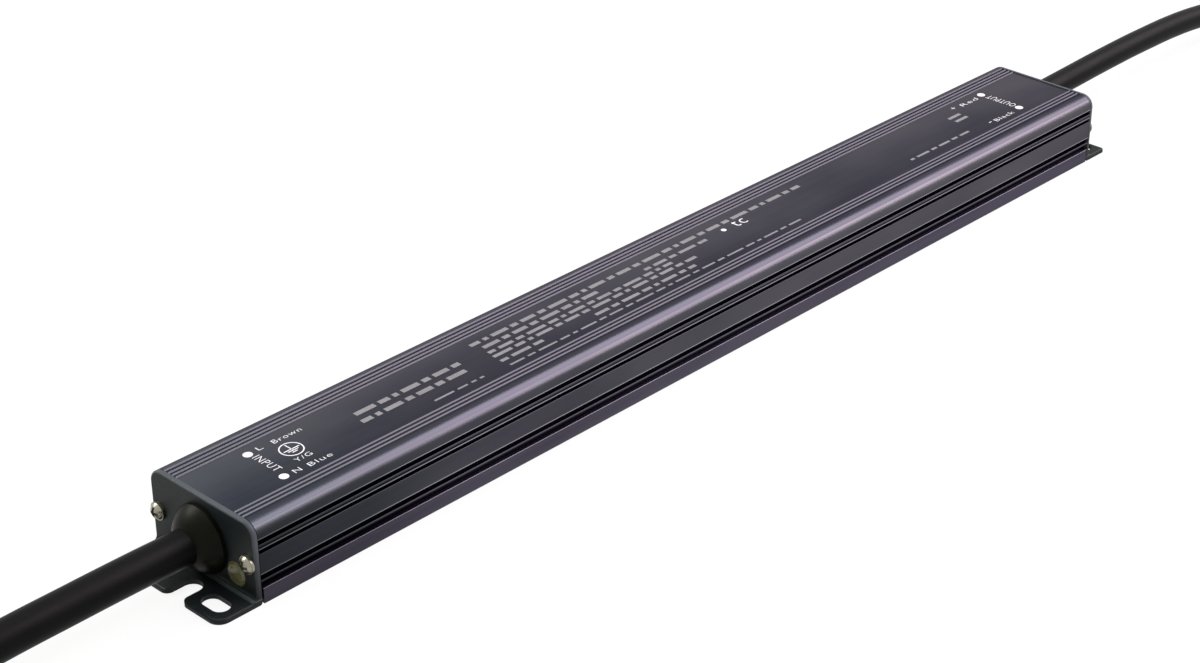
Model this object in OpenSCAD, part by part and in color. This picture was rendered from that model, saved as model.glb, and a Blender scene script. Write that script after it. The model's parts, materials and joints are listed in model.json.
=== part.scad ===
// Slim LED driver: an extruded aluminium housing on a slide-on base tray,
// closed at both ends by bent sheet plates whose feet carry the fixing slots.
// Millimetres, +Z up, +X from the mains input end to the low-voltage output end.
// The origin is the centre of the underside.

/* [Case] */
// Length over the outer faces of the two end plates
case_l = 308; // [290:1:420]
// Width over the side walls
body_w = 35; // [34:0.5:46]
// Height from the underside to the top face
body_h = 20; // [19.5:0.5:28]
// Radius of the rounded shoulders along the top edges
shoulder_r = 3.5; // [2.5:0.1:4]
// Thickness of the top wall
top_t = 2; // [1.4:0.1:2.4]
// Thickness of the side walls at the flat band
side_t = 2.3; // [1.9:0.1:2.6]
// Radius inside the top corners of the housing
cavity_r = 1.2; // [0.5:0.1:2]
// Size of the broken edges of grooves and flanges
edge_c = 0.1; // [0.1:0.05:0.3]

/* [Side grooves] */
// Depth of the grooves in the side walls
groove_d = 1; // [0.6:0.1:1.1]
// Plain strip between the shoulder and the first groove
shoulder_land = 0.5; // [0.3:0.1:1]
// Height of the groove under the shoulder
shoulder_groove_h = 1.2; // [0.6:0.1:1.2]
// Height of the double rib under that groove
double_rib_h = 1.3; // [1.2:0.1:1.8]
// Depth of the fine slot that splits the double rib
split_d = 0.4; // [0.2:0.05:0.5]
// Width of that slot
split_w = 0.3; // [0.2:0.05:0.4]
// Height of the groove under the double rib
band_groove_h = 1; // [0.5:0.1:1]
// Height of the groove under the flat band
low_groove_h = 1.3; // [0.7:0.1:1.3]
// Height of the thin rib above the base tray
thin_rib_h = 0.5; // [0.5:0.1:0.9]
// Gap between the tray's flange and the thin rib
flange_groove_h = 1.7; // [1.3:0.1:1.9]

/* [Top panel] */
// Distance from the side of the housing to the edge of the sunk panel
panel_inset = 3.7; // [3.5:0.05:4.2]
// Depth of the panel below the top of the housing
panel_d = 0.25; // [0.2:0.05:0.4]
// Number of ribs along each side of the panel
top_rib_n = 3; // [1:1:4]
// Distance between the ribs, and from the edge of the panel to the first
top_rib_pitch = 1.3; // [1.1:0.1:1.5]
// Width of a rib's crest
top_rib_w = 0.15; // [0.1:0.05:0.3]

/* [Base tray] */
// Thickness of the base tray
tray_t = 1.2; // [1:0.1:1.4]
// Height of the tray's side flanges
flange_h = 3.8; // [3.4:0.1:4.2]
// Reach of the lips that hold the housing to the tray
lip_d = 0.5; // [0.3:0.1:0.7]
// Height of the lips
lip_h = 0.9; // [0.6:0.1:1.1]
// Clearance between the housing and the tray that slides over it
slide_clear = 0.1; // [0.05:0.05:0.2]
// Distance from the housing's input end to the end of the tray
tray_set_input = 0.4; // [0.1:0.1:1]
// Distance from the housing's output end to the end of the tray
tray_set_output = 0.1; // [0.1:0.1:1]

/* [End plates] */
// Thickness of the end plates' sheet
sheet_t = 1.2; // [1:0.1:1.6]
// Radius inside the bend between plate and foot
bend_in_r = 1.5; // [1:0.1:1.8]
// Radius outside the bend between plate and foot
bend_out_r = 0.6; // [0.4:0.1:1]
// Radius of the rounded rim round plate and foot
rim_r = 0.6; // [0.3:0.1:0.9]
// Thickness of the rubber gasket behind each plate
gasket_t = 0.15; // [0.1:0.05:0.5]
// Step between the edge of the plate and the edge of its gasket
gasket_inset = 0.3; // [0.2:0.1:0.6]
// Width of the gasket's frame
gasket_band = 5; // [4.6:0.1:5.4]

/* [Feet] */
// Length of the input foot beyond its plate
input_foot_l = 10.8; // [10.2:0.1:16]
// Length of the output foot beyond its plate
output_foot_l = 8; // [7.8:0.1:12]
// Radius of the input foot's outer corners
input_corner_r = 3; // [2:0.1:3.6]
// Radius of the output foot's outer corners
output_corner_r = 0.9; // [0.9:0.1:3]
// Length of the fixing slots
slot_l = 7.6; // [6:0.1:8]
// Width of the fixing slots
slot_w = 4.5; // [3.6:0.1:4.8]
// Distance from the input plate to the middle of its slots
input_slot_out = 6.3; // [5.8:0.1:6.8]
// Distance from the output plate to the middle of its slots
output_slot_out = 4.5; // [4.2:0.1:4.8]
// Distance from the side of the foot to the middle of a slot
slot_inset = 6.2; // [5.8:0.1:6.8]
// Width of the open notch in the foot
notch_w = 5; // [4.4:0.1:5.6]
// Distance from the middle of the foot to the middle of the notch
notch_off = 2.5; // [0:0.1:3]
// Distance from the plate to the bottom of the notch
notch_from_plate = 3.4; // [2.8:0.1:4.5]
// Radius of the corners at the mouth of the notch
notch_mouth_r = 1.8; // [0.8:0.1:2]

/* [Screws] */
// Diameter of the end screws
screw_d = 2.5; // [2.2:0.1:2.6]
// Diameter of the screw heads
screw_head_d = 4.4; // [4:0.1:4.6]
// Height of the screw heads
screw_head_h = 1.8; // [1.4:0.1:2]
// Length of the screws under the head
screw_l = 9; // [7:0.5:12]
// Width of the arms of the cross recess
recess_w = 0.7; // [0.5:0.1:0.8]
// Depth of the cross recess
recess_d = 0.9; // [0.6:0.1:1.1]
// Distance from the side of the housing to a screw's axis
screw_inset = 2.3; // [2.3:0.1:2.8]
// Height of the screws' axes
screw_z = 9.8; // [9.6:0.1:10.2]
// Clearance round a screw in its plate
screw_clear = 0.15; // [0.1:0.05:0.25]
// Clearance round a screw in its port
thread_clear = 0.05; // [0.02:0.01:0.08]
// Wall of the screw ports inside the housing
port_wall = 0.9; // [0.7:0.05:0.95]
// Width of the slit along each screw port
port_slit = 0.8; // [0.5:0.1:1.2]

/* [Glands] */
// Diameter of the input gland's dome
input_gland_d = 16.4; // [14:0.2:16.6]
// Height of the input gland's dome
input_gland_h = 5; // [3.5:0.5:7]
// Height of the input gland's axis
input_gland_z = 9.6; // [9.5:0.1:10.2]
// Diameter of the output gland's dome
output_gland_d = 12; // [11:0.5:12.5]
// Height of the output gland's dome
output_gland_h = 3.5; // [2.5:0.5:5]
// Height of the output gland's axis
output_gland_z = 10.7; // [9.8:0.1:11]
// Gap between the output gland and the screw head beside it
output_gland_gap = 0.3; // [0.2:0.1:1]
// Thickness of the rim round the foot of each dome
gland_rim_h = 1; // [0.6:0.1:1.3]
// Rubber between the cable and the plate
gland_neck_t = 1.3; // [1:0.1:1.5]
// Reach of the gland's inner collar past the hole
gland_collar = 1.2; // [0.8:0.1:1.3]
// Thickness of the gland's inner collar
gland_collar_t = 1.5; // [1:0.1:2]
// Clearance between gland and plate, and between gland and cable
gland_clear = 0.05; // [0.02:0.01:0.1]

/* [Tamper seal] */
// Diameter of the lacquer seal on the input plate
seal_d = 5.8; // [4:0.1:6]
// Thickness of the seal
seal_t = 0.2; // [0.1:0.05:0.4]
// Distance from the input gland's side to the middle of the seal
seal_out = 2.6; // [2.4:0.1:3]
// Gap between the seal and the bend under it
seal_rise = 0.1; // [0.05:0.05:0.3]

/* [Circuit board] */
// Height of the ledges that carry the board
board_z = 4.2; // [4:0.1:4.6]
// Thickness of the board
board_t = 1.6; // [1.2:0.1:1.8]
// Gap between the ends of the board and the end plates
board_end_gap = 10.8; // [10.5:0.1:13]
// Clearance beside the board
board_side_clear = 0.2; // [0.1:0.05:0.3]
// Clearance between the board and the rail above it
board_rail_clear = 0.2; // [0.1:0.05:0.3]
// Depth of the ledge under the edge of the board
ledge_d = 1.6; // [1.2:0.1:2]
// Reach of the rail over the edge of the board
rail_d = 1; // [0.7:0.1:1.2]
// Height of the rail over the edge of the board
rail_h = 0.9; // [0.7:0.1:1.2]
// Thickness of the insulating film on the tray
liner_t = 0.4; // [0.2:0.1:0.5]
// Clearance under the parts that stand on the board
stand_off = 0.1; // [0.05:0.05:0.2]
// Diameter of the parts' wire legs
leg_d = 0.8; // [0.6:0.1:1]

/* [Input filter parts] */
// Length of the fuse
fuse_l = 12; // [10:0.5:14]
// Diameter of the fuse
fuse_d = 5; // [4:0.5:6]
// Diameter of the surge varistor
varistor_d = 9; // [7:0.5:10]
// Thickness of the surge varistor
varistor_t = 4; // [3:0.5:5]
// Length of the interference capacitor
x_cap_l = 13; // [10:0.5:14]
// Width of the interference capacitor
x_cap_w = 6; // [4:0.5:6.5]
// Gap between the interference capacitor and the top wall
x_cap_gap = 1.7; // [0.5:0.1:4]
// Outer diameter of the filter choke's ring
choke_d = 14; // [12:0.5:14]
// Inner diameter of the filter choke's ring
choke_bore = 7; // [5:0.5:7]
// Height of the filter choke's ring
choke_h = 6; // [4:0.5:7]
// Thickness of the filter choke's windings
choke_wire = 0.8; // [0.5:0.1:1]
// Angle that each filter choke winding covers
choke_angle = 130; // [90:5:150]
// Length of the bridge rectifier
bridge_l = 15; // [12:0.5:16]
// Thickness of the bridge rectifier
bridge_t = 4; // [3:0.5:5]
// Height of the bridge rectifier
bridge_h = 9.5; // [8:0.5:11]

/* [Wound parts] */
// Length of the boost inductor's core
boost_l = 20; // [18:0.5:22]
// Gap between the boost inductor's core and the screw ports beside it
boost_side_gap = 2; // [1:0.1:3]
// Length of the transformer's core
transformer_l = 25; // [22:0.5:28]
// Gap between the transformer's core and the screw ports beside it
transformer_side_gap = 1; // [0.5:0.1:2.5]
// Gap between the wound parts and the top wall
core_gap = 1.5; // [0.6:0.1:2.5]
// Thickness of the outer legs and yokes of the cores, as a share of their width
core_leg_share = 0.12; // [0.1:0.01:0.14]
// Width of the middle leg of the cores, as a share of their width
core_mid_share = 0.26; // [0.22:0.01:0.28]
// Thickness of the former round the middle leg
former_t = 0.5; // [0.4:0.1:0.6]
// Thickness of the windings above and below the middle leg
winding_t = 1; // [0.8:0.1:1.2]
// Clearance between cores, formers and windings
wound_clear = 0.1; // [0.05:0.05:0.2]
// Diameter of the output choke's drum
drum_d = 11; // [9:0.5:12]
// Height of the output choke's drum
drum_h = 10; // [8:0.5:11]

/* [Power parts] */
// Gap between the storage capacitors and the walls round them
bulk_gap = 1.6; // [0.5:0.1:4]
// Length of the storage capacitors
bulk_l = 26; // [20:1:28]
// Gap between the output capacitors and the walls round them
out_cap_gap = 2.1; // [0.5:0.1:4]
// Length of the output capacitors
out_cap_l = 20; // [16:1:22]
// Side of the square power chips under the board
chip_w = 6.5; // [5:0.5:7]
// Thickness of the power chips
chip_t = 1.6; // [1.2:0.1:1.8]
// Side of the thermal pads under the power chips
pad_w = 8; // [7.5:0.5:10]

/* [Cables] */
// Diameter of the input cable
input_cable_d = 8.4; // [7.5:0.1:8.6]
// Diameter of the output cable
output_cable_d = 7.1; // [6:0.1:7.2]
// Diameter of the insulated cores
core_d = 2.4; // [2:0.1:2.5]
// Diameter of the bare twisted strands
strand_d = 1.3; // [1:0.1:1.5]
// Length of the tinned ends
strand_l = 7; // [5:0.5:9]

/* [Hidden] */
$fn = 48;
// Overlap of cutting shapes past the faces that they cut
eps = 0.5;

// Colours of the pieces
anodised = "#4b4b54";
plate_grey = "#3a4043";
rubber_black = "#1d1d1b";
nickel = "#cfcab8";
lacquer = "#55563a";
board_green = "#2f6b43";
ferrite = "#3b3a3d";
copper = "#b06a35";
mould_black = "#222326";
sleeve = "#2a3550";
tinned = "#c9c9c4";
core_brown = "#6b3f22";
core_blue = "#2a55a8";
core_earth = "#7f9a2c";
core_red = "#b3231f";
core_black = "#26262a";

// Where the faces of the case lie
half_w = body_w / 2;
plate_out = case_l / 2;
plate_in = plate_out - sheet_t;
housing_end = plate_in - gasket_t;
housing_z = tray_t + slide_clear;
cavity_half = half_w - side_t;
cavity_top = body_h - top_t;
recess_half = half_w - tray_t - slide_clear;
panel_half = half_w - panel_inset;

// Heights of the side grooves, from the shoulder down and from the tray up
shoulder_groove_top = body_h - shoulder_r - shoulder_land;
double_rib_top = shoulder_groove_top - shoulder_groove_h;
band_groove_top = double_rib_top - double_rib_h;
thin_rib_z = flange_h + flange_groove_h;
low_groove_z = thin_rib_z + thin_rib_h;

// Screws and glands
screw_y = half_w - screw_inset;
port_r = screw_d / 2 + thread_clear;
port_face = screw_y - port_r - port_wall;
input_hole_r = input_cable_d / 2 + gland_neck_t;
output_hole_r = output_cable_d / 2 + gland_neck_t;
output_gland_y = screw_y - screw_head_d / 2 - output_gland_gap - output_gland_d / 2;
bend_top = sheet_t + bend_in_r;
seal_y = input_gland_d / 2 + seal_out;
seal_z = bend_top + seal_rise + seal_d / 2;

// The board and the two ends that its parts are set out from
board_top = board_z + board_t;
board_half_l = plate_in - board_end_gap;
board_half_w = cavity_half - board_side_clear;
stand_z = board_top + stand_off;
function from_input(offset) = -board_half_l + offset;
function from_output(offset) = board_half_l - offset;
function from_side(gap) = port_face - gap;

// Set-out of the parts on the board: distance from their end of the board, then sideways
fuse_at = [15, from_side(5)];
varistor_at = [15, -from_side(6)];
x_cap_at = [30, from_side(4.8)];
choke_at = [46, 0];
bridge_at = [63, from_side(5)];
controller_at = [63, -from_side(6)];
boost_at = 83;
transistor_at = [98, 6];
bulk_at = 112;
y_cap_at = [124, from_side(6)];
opto_at = [124, -from_side(6)];
transformer_at = 102;
rectifier_at = [80, 6];
out_cap_at = 66;
drum_at = 40;

// Sizes of the parts that fill the room under the top wall and between the screw ports
x_cap_h = cavity_top - board_top - x_cap_gap;
boost_w = 2 * from_side(boost_side_gap);
transformer_w = 2 * from_side(transformer_side_gap);
coil_t = 2 * former_t + winding_t + 2 * wound_clear;
core_h = cavity_top - stand_z - 2 * coil_t - core_gap;
pair_half_gap = 0.9;
can_room = min(cavity_top - stand_z, from_side(pair_half_gap));
bulk_d = can_room - bulk_gap;
out_cap_d = can_room - out_cap_gap;

// Small parts on the board
controller_size = [10, 6, 1.8];
opto_size = [6.5, 9, 3.6];
y_cap_d = 8;
y_cap_t = 3.5;
board_slot = [3, 18];
board_slot_gap = 6;
board_corner_r = 1;
drum_rim = drum_h / 6;
drum_coil_d = drum_d * 0.94;

// How far the cable jackets reach inside the plates
jacket_in = 6;
// Places of the cores on the end of a jacket: sideways and up
input_core_spots = [[1.9, 1.1], [-1.9, 1.1], [0, -2.2]];
output_core_spots = [[1.7, 0], [-1.7, 0]];
// Where the leads land on the board, sideways
input_pads = [8, -8, 0];
output_pads = [5, -5];
pad_in = 7;

// Heights at which the cables and their cores lie on the surface below
input_floor = input_cable_d / 2 + 0.1;
output_floor = output_cable_d / 2 + 0.1;
core_floor = core_d / 2 + 0.1;

// Input cable: distance out from the plate, sideways, height
input_route = [
  [-jacket_in, 0, input_gland_z], [0, 0, input_gland_z], [8, 0, input_gland_z],
  [16, 0, input_gland_z + 0.1], [26, 0, input_gland_z + 0.1], [36, 0, input_gland_z],
  [46, 0, input_gland_z - 0.1], [56, 0, input_gland_z - 0.4], [68, 0, input_gland_z - 1],
  [80, 0.3, input_gland_z - 1.9], [92, 0.9, input_gland_z - 3], [104, 1.7, input_floor + 1],
  [116, 2.6, input_floor + 0.4], [128, 3.4, input_floor + 0.1], [140, 3.8, input_floor],
  [150, 4, input_floor], [156, 4, input_floor]
];

// Output cable: distance out from the plate, sideways from the gland, height
output_route = [
  [-jacket_in, 0, output_gland_z], [0, 0, output_gland_z], [8, 0, output_gland_z],
  [16, 0, output_gland_z + 0.2], [26, 0, output_gland_z + 0.5], [36, 0, output_gland_z + 0.8],
  [46, 0, output_gland_z + 1], [56, 0, output_gland_z + 1.1], [66, 0, output_gland_z + 1],
  [76, 0, output_gland_z + 0.8], [88, -0.2, output_gland_z + 0.2], [100, -0.6, output_gland_z - 1],
  [112, -1.2, output_gland_z - 2.8], [124, -2, output_floor + 2.4], [136, -2.7, output_floor + 0.8],
  [146, -3, output_floor + 0.1], [154, -3, output_floor], [160, -3, output_floor]
];

// The core tails: distance past the end of the jacket, share of the spread, share of the fall
tail_steps = [
  [0, 0, 0], [4, 0, 0], [9, 0.15, 0.25], [14, 0.45, 0.6],
  [19, 0.75, 0.85], [24, 0.95, 0.98], [29, 1, 1], [34, 1, 1]
];
// How far sideways each core tail spreads
input_tail_spread = [8, -7, 1];
output_tail_spread = [6, -6];

// Solids along an axis, from a section

// Runs a section in Y and Z along X, from x0 to x1
module along_x(x0, x1) {
  translate([x0, 0, 0]) rotate([90, 0, 90]) linear_extrude(x1 - x0) children();
}

// Runs a section in X and Z along Y, centred on Y = 0
module along_y(length) {
  translate([0, length / 2, 0]) rotate([90, 0, 0]) linear_extrude(length) children();
}

// Draws its children on both sides of the section
module both_sides() {
  children();
  mirror([1, 0]) children();
}

// Draws its children on both sides of a plan
module both_sides_y() {
  children();
  mirror([0, 1]) children();
}

// Turns a solid made for the input end round to the output end
module at_output_end() {
  rotate([0, 0, 180]) children();
}

// What rounding takes off the upper right corner at a point
module corner_bit(corner, r) {
  translate(corner - [r, r]) difference() {
    square(r + eps);
    circle(r);
  }
}

// A rectangle from z0 to z1 with rounded upper corners
module rounded_top(half, z0, z1, r) {
  difference() {
    translate([-half, z0]) square([2 * half, z1 - z0]);
    both_sides() corner_bit([half, z1], r);
  }
}

// A rectangle with four rounded corners, centred
module rounded_rect(size, r) {
  difference() {
    square(size, center = true);
    both_sides() both_sides_y() corner_bit(size / 2, r);
  }
}

// Swept tubes for cables and leads

function tangent(path, i) =
  let (a = path[max(i - 1, 0)], b = path[min(i + 1, len(path) - 1)]) (b - a) / norm(b - a);

function ring(path, i, r, sides) =
  let (t = tangent(path, i), s = cross(t, [0, 0, 1]) / norm(cross(t, [0, 0, 1])), u = cross(s, t))
  [for (k = [0 : sides - 1]) path[i] + r * (cos(360 * k / sides) * s + sin(360 * k / sides) * u)];

// One closed tube through the points of a path
module tube(path, d, sides) {
  n = len(path);
  points = [for (i = [0 : n - 1]) each ring(path, i, d / 2, sides)];
  walls = [
    for (i = [0 : n - 2], k = [0 : sides - 1])
      let (a = i * sides + k, b = i * sides + (k + 1) % sides)
      each [[a, b, a + sides], [b, b + sides, a + sides]]
  ];
  caps = [
    [for (k = [sides - 1 : -1 : 0]) k],
    [for (k = [0 : sides - 1]) (n - 1) * sides + k]
  ];
  polyhedron(points, concat(walls, caps));
}

// Housing and tray

// A groove in the side wall with broken edges, from z0 to z1
module side_groove(z0, z1, depth) {
  polygon([
    [half_w + eps, z0 - edge_c - eps], [half_w - edge_c, z0], [half_w - depth, z0],
    [half_w - depth, z1], [half_w - edge_c, z1], [half_w + eps, z1 + edge_c + eps]
  ]);
}

// The fine slot that splits the double rib
module rib_split() {
  z = double_rib_top - double_rib_h / 2;
  translate([half_w - split_d, z - split_w / 2]) square([split_d + eps, split_w]);
}

// The sunk panel of the top face with sloping edges, without the ribs that are left standing on it
module top_panel() {
  low = body_h - panel_d;
  rib_foot = top_rib_w / 2 + panel_d;
  difference() {
    polygon([
      [-panel_half - eps, body_h + eps], [panel_d - panel_half, low],
      [panel_half - panel_d, low], [panel_half + eps, body_h + eps]
    ]);
    both_sides() for (i = [1 : top_rib_n]) translate([panel_half - i * top_rib_pitch, low])
      polygon([[-rib_foot, 0], [-top_rib_w / 2, panel_d], [top_rib_w / 2, panel_d], [rib_foot, 0]]);
  }
}

// The recess that the tray's flange and lip slide into, up to the thin rib
module flange_recess() {
  lip_z = flange_h - lip_h - slide_clear;
  polygon([
    [half_w + eps, 0], [recess_half, 0], [recess_half, thin_rib_z],
    [half_w - edge_c, thin_rib_z], [half_w + eps, thin_rib_z + edge_c + eps]
  ]);
  translate([recess_half - lip_d, lip_z]) square([lip_d + eps, lip_h + 2 * slide_clear]);
}

// The hollow of the housing, narrower below the ledges that carry the board
module housing_cavity() {
  rounded_top(cavity_half, board_z, cavity_top, cavity_r);
  lower_half = cavity_half - ledge_d;
  translate([-lower_half, 0]) square([2 * lower_half, board_z + eps]);
}

module housing_section() {
  difference() {
    union() {
      difference() {
        rounded_top(half_w, housing_z, body_h, shoulder_r);
        housing_cavity();
      }
      both_sides() {
        translate([cavity_half - rail_d, board_top + board_rail_clear])
          square([rail_d + side_t / 2, rail_h]);
        translate([screw_y, screw_z]) circle(port_r + port_wall);
      }
    }
    both_sides() {
      side_groove(double_rib_top, shoulder_groove_top, groove_d);
      rib_split();
      side_groove(band_groove_top - band_groove_h, band_groove_top, groove_d);
      side_groove(low_groove_z, low_groove_z + low_groove_h, groove_d);
      flange_recess();
      translate([screw_y, screw_z]) circle(port_r);
      translate([screw_y - port_r - port_wall - eps, screw_z - port_slit / 2])
        square([port_r + port_wall + eps, port_slit]);
    }
    top_panel();
  }
}

module housing_profile() {
  color(anodised) along_x(-housing_end, housing_end) housing_section();
}

module tray_section() {
  translate([-half_w, 0]) square([body_w, tray_t]);
  both_sides() {
    polygon([
      [half_w - tray_t, 0], [half_w, 0], [half_w, flange_h - edge_c],
      [half_w - edge_c, flange_h], [half_w - tray_t, flange_h]
    ]);
    translate([half_w - tray_t - lip_d, flange_h - lip_h]) square([lip_d + edge_c, lip_h]);
  }
}

module base_tray() {
  color(anodised)
    along_x(-housing_end + tray_set_input, housing_end - tray_set_output) tray_section();
}

// End plates, gaskets, screws and glands, each made for the input end

// The fillet inside the bend, hollowed by a circle
module bend_fillet(r) {
  difference() {
    translate([-bend_in_r, sheet_t - eps]) square([bend_in_r + eps, bend_in_r + eps]);
    translate([-bend_in_r, bend_top]) circle(r);
  }
}

// The bent sheet seen from the side: X out of the plate's face, then Z
module plate_side_profile(foot_l) {
  difference() {
    union() {
      square([sheet_t, body_h]);
      translate([-foot_l, 0]) square([foot_l + eps, sheet_t]);
      bend_fillet(bend_in_r);
    }
    difference() {
      translate([sheet_t - bend_out_r, -eps]) square([bend_out_r + eps, bend_out_r + eps]);
      translate([sheet_t - bend_out_r, bend_out_r]) circle(bend_out_r);
    }
  }
}

// The plate and its foot seen from above
module plate_plan(foot_l, corner_r, slot_out) {
  difference() {
    translate([-foot_l, -half_w]) square([foot_l + sheet_t + eps, body_w]);
    both_sides_y() {
      mirror([1, 0]) corner_bit([foot_l, half_w], corner_r);
      translate([-slot_out, half_w - slot_inset]) slot_shape();
    }
    foot_notch(foot_l);
  }
}

// A fixing slot, long across the foot
module slot_shape() {
  reach = (slot_l - slot_w) / 2;
  square([slot_w, 2 * reach], center = true);
  for (s = [-1, 1]) translate([0, s * reach]) circle(slot_w / 2);
}

// The open notch between the two lobes of the foot, with a round bottom and rounded mouth
module foot_notch(foot_l) {
  r = notch_w / 2;
  bottom = -notch_from_plate - r;
  mouth_r = min(notch_mouth_r, foot_l + bottom);
  translate([0, -notch_off]) {
    translate([bottom, 0]) circle(r);
    translate([-foot_l - eps, -r]) square([foot_l + eps + bottom, notch_w]);
    both_sides_y() difference() {
      translate([-foot_l - eps, r - eps]) square([mouth_r + eps, mouth_r + eps]);
      translate([mouth_r - foot_l, r + mouth_r]) circle(mouth_r);
    }
  }
}

// What rounding the rim takes off one half of a plate, from its top edge round to its foot's end
module rim_cut(foot_l, corner_r) {
  side_top = body_h - shoulder_r;
  toe = corner_r - foot_l;
  along_y(body_w - 2 * shoulder_r) mirror([1, 0]) corner_bit([0, body_h], rim_r);
  translate([0, half_w - shoulder_r, side_top]) rotate([0, -90, 0])
    rotate_extrude(angle = 90) corner_bit([shoulder_r, 0], rim_r);
  translate([0, 0, bend_top]) linear_extrude(side_top - bend_top)
    mirror([1, 0]) corner_bit([0, half_w], rim_r);
  translate([-bend_in_r, 0, bend_top]) rotate([-90, 0, 0]) rotate_extrude(angle = 90)
    translate([bend_in_r, 0]) mirror([1, 0]) corner_bit([0, half_w], rim_r);
  along_x(toe, -bend_in_r) corner_bit([half_w, sheet_t], rim_r);
  translate([toe, half_w - corner_r, 0]) rotate([0, 0, 90])
    rotate_extrude(angle = 90) corner_bit([corner_r, sheet_t], rim_r);
  along_y(body_w - 2 * corner_r) mirror([1, 0]) corner_bit([foot_l, sheet_t], rim_r);
}

// A bent end plate with its outer face at X = 0 and its foot towards -X
module end_plate(gland_y, gland_z, hole_r, foot_l, corner_r, slot_out) {
  difference() {
    intersection() {
      along_y(body_w + 2 * eps) plate_side_profile(foot_l);
      along_x(-foot_l - eps, sheet_t + eps) rounded_top(half_w, -eps, body_h, shoulder_r);
      translate([0, 0, -eps]) linear_extrude(body_h + 2 * eps) plate_plan(foot_l, corner_r, slot_out);
    }
    for (s = [0, 1]) mirror([0, s, 0]) {
      rim_cut(foot_l, corner_r);
      translate([-eps, screw_y, screw_z]) rotate([0, 90, 0])
        cylinder(d = screw_d + 2 * screw_clear, h = sheet_t + 2 * eps);
    }
    translate([-eps, gland_y, gland_z]) rotate([0, 90, 0])
      cylinder(r = hole_r, h = sheet_t + 2 * eps);
  }
}

module input_end_plate() {
  color(plate_grey) translate([-plate_out, 0, 0]) end_plate(
    0, input_gland_z, input_hole_r, input_foot_l, input_corner_r, input_slot_out
  );
}

module output_end_plate() {
  color(plate_grey) at_output_end() translate([-plate_out, 0, 0]) end_plate(
    -output_gland_y, output_gland_z, output_hole_r, output_foot_l, output_corner_r, output_slot_out
  );
}

// A flat gasket between a plate and the end of the housing
module gasket(gland_y, gland_z, hole_r) {
  open_half = half_w - gasket_inset - gasket_band;
  collar_r = hole_r + gland_collar + gasket_inset;
  along_x(-plate_in, -housing_end) difference() {
    rounded_top(half_w - gasket_inset, housing_z, body_h - gasket_inset, shoulder_r - gasket_inset);
    rounded_top(open_half, board_z, cavity_top, cavity_r);
    translate([gland_y, gland_z]) circle(collar_r);
    both_sides() translate([screw_y, screw_z]) circle(screw_d / 2 + screw_clear);
  }
}

module input_gasket() {
  color(rubber_black) gasket(0, input_gland_z, input_hole_r);
}

module output_gasket() {
  color(rubber_black) at_output_end() gasket(-output_gland_y, output_gland_z, output_hole_r);
}

// A pan-head screw with a cross recess, its head seated at X = 0 and its shank towards +X
module end_screw() {
  crown_r = (pow(screw_head_d / 2, 2) + pow(screw_head_h, 2)) / (2 * screw_head_h);
  skirt_h = screw_head_h / 3;
  arm_l = screw_head_d * 0.6;
  rotate([0, 90, 0]) difference() {
    union() {
      cylinder(d = screw_d, h = screw_l);
      translate([0, 0, -skirt_h]) cylinder(d = screw_head_d, h = skirt_h);
      intersection() {
        translate([0, 0, -screw_head_h]) cylinder(d = screw_head_d, h = screw_head_h - skirt_h);
        translate([0, 0, crown_r - screw_head_h]) sphere(crown_r);
      }
    }
    for (a = [0, 90]) rotate([0, 0, a])
      translate([-arm_l / 2, -recess_w / 2, -screw_head_h - eps])
        cube([arm_l, recess_w, recess_d + eps]);
  }
}

module end_screws() {
  for (s = [-1, 1]) translate([-plate_out, s * screw_y, screw_z]) end_screw();
}

module input_end_screws() {
  color(nickel) end_screws();
}

module output_end_screws() {
  color(nickel) at_output_end() end_screws();
}

// Half section of a cable gland: distance from its axis, then distance out of the plate
module gland_section(dome_d, dome_h, hole_r, cable_d) {
  bore_r = cable_d / 2 + gland_clear;
  dome_r = dome_d / 2;
  rise = dome_h - gland_rim_h;
  sink = (pow(dome_r, 2) - pow(bore_r, 2) - pow(rise, 2)) / (2 * rise);
  crown_r = sqrt(pow(dome_r, 2) + pow(sink, 2));
  difference() {
    union() {
      square([dome_r, gland_rim_h]);
      intersection() {
        translate([0, gland_rim_h - sink]) circle(crown_r, $fn = 96);
        translate([0, gland_rim_h - eps]) square([dome_r, dome_h + eps]);
      }
      translate([0, -sheet_t - eps]) square([hole_r - gland_clear, sheet_t + 2 * eps]);
      translate([0, -sheet_t - gland_collar_t]) square([hole_r + gland_collar, gland_collar_t]);
    }
    translate([-crown_r, -crown_r - dome_h]) square([crown_r + bore_r, 4 * (crown_r + dome_h)]);
  }
}

module gland(y, z, dome_d, dome_h, hole_r, cable_d) {
  translate([-plate_out, y, z]) rotate([0, -90, 0])
    rotate_extrude($fn = 96) gland_section(dome_d, dome_h, hole_r, cable_d);
}

// The input gland's rim is hollowed where it would stand on the bend
module input_gland() {
  color(rubber_black) difference() {
    gland(0, input_gland_z, input_gland_d, input_gland_h, input_hole_r, input_cable_d);
    translate([-plate_out, 0, 0]) along_y(body_w) bend_fillet(bend_in_r - gland_clear);
  }
}

module output_gland() {
  color(rubber_black) at_output_end() gland(
    -output_gland_y, output_gland_z, output_gland_d, output_gland_h, output_hole_r, output_cable_d
  );
}

module tamper_seal() {
  color(lacquer) translate([-plate_out - seal_t, -seal_y, seal_z]) rotate([0, 90, 0])
    cylinder(d = seal_d, h = seal_t);
}

// The circuit board and what stands on it

module circuit_board() {
  slot_x = from_output(transformer_at + transformer_l / 2 + board_slot_gap);
  color(board_green) translate([0, 0, board_z]) linear_extrude(board_t) difference() {
    rounded_rect([2 * board_half_l, 2 * board_half_w], board_corner_r);
    translate([slot_x, 0]) rounded_rect(board_slot, board_slot[0] / 3);
  }
}

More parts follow.
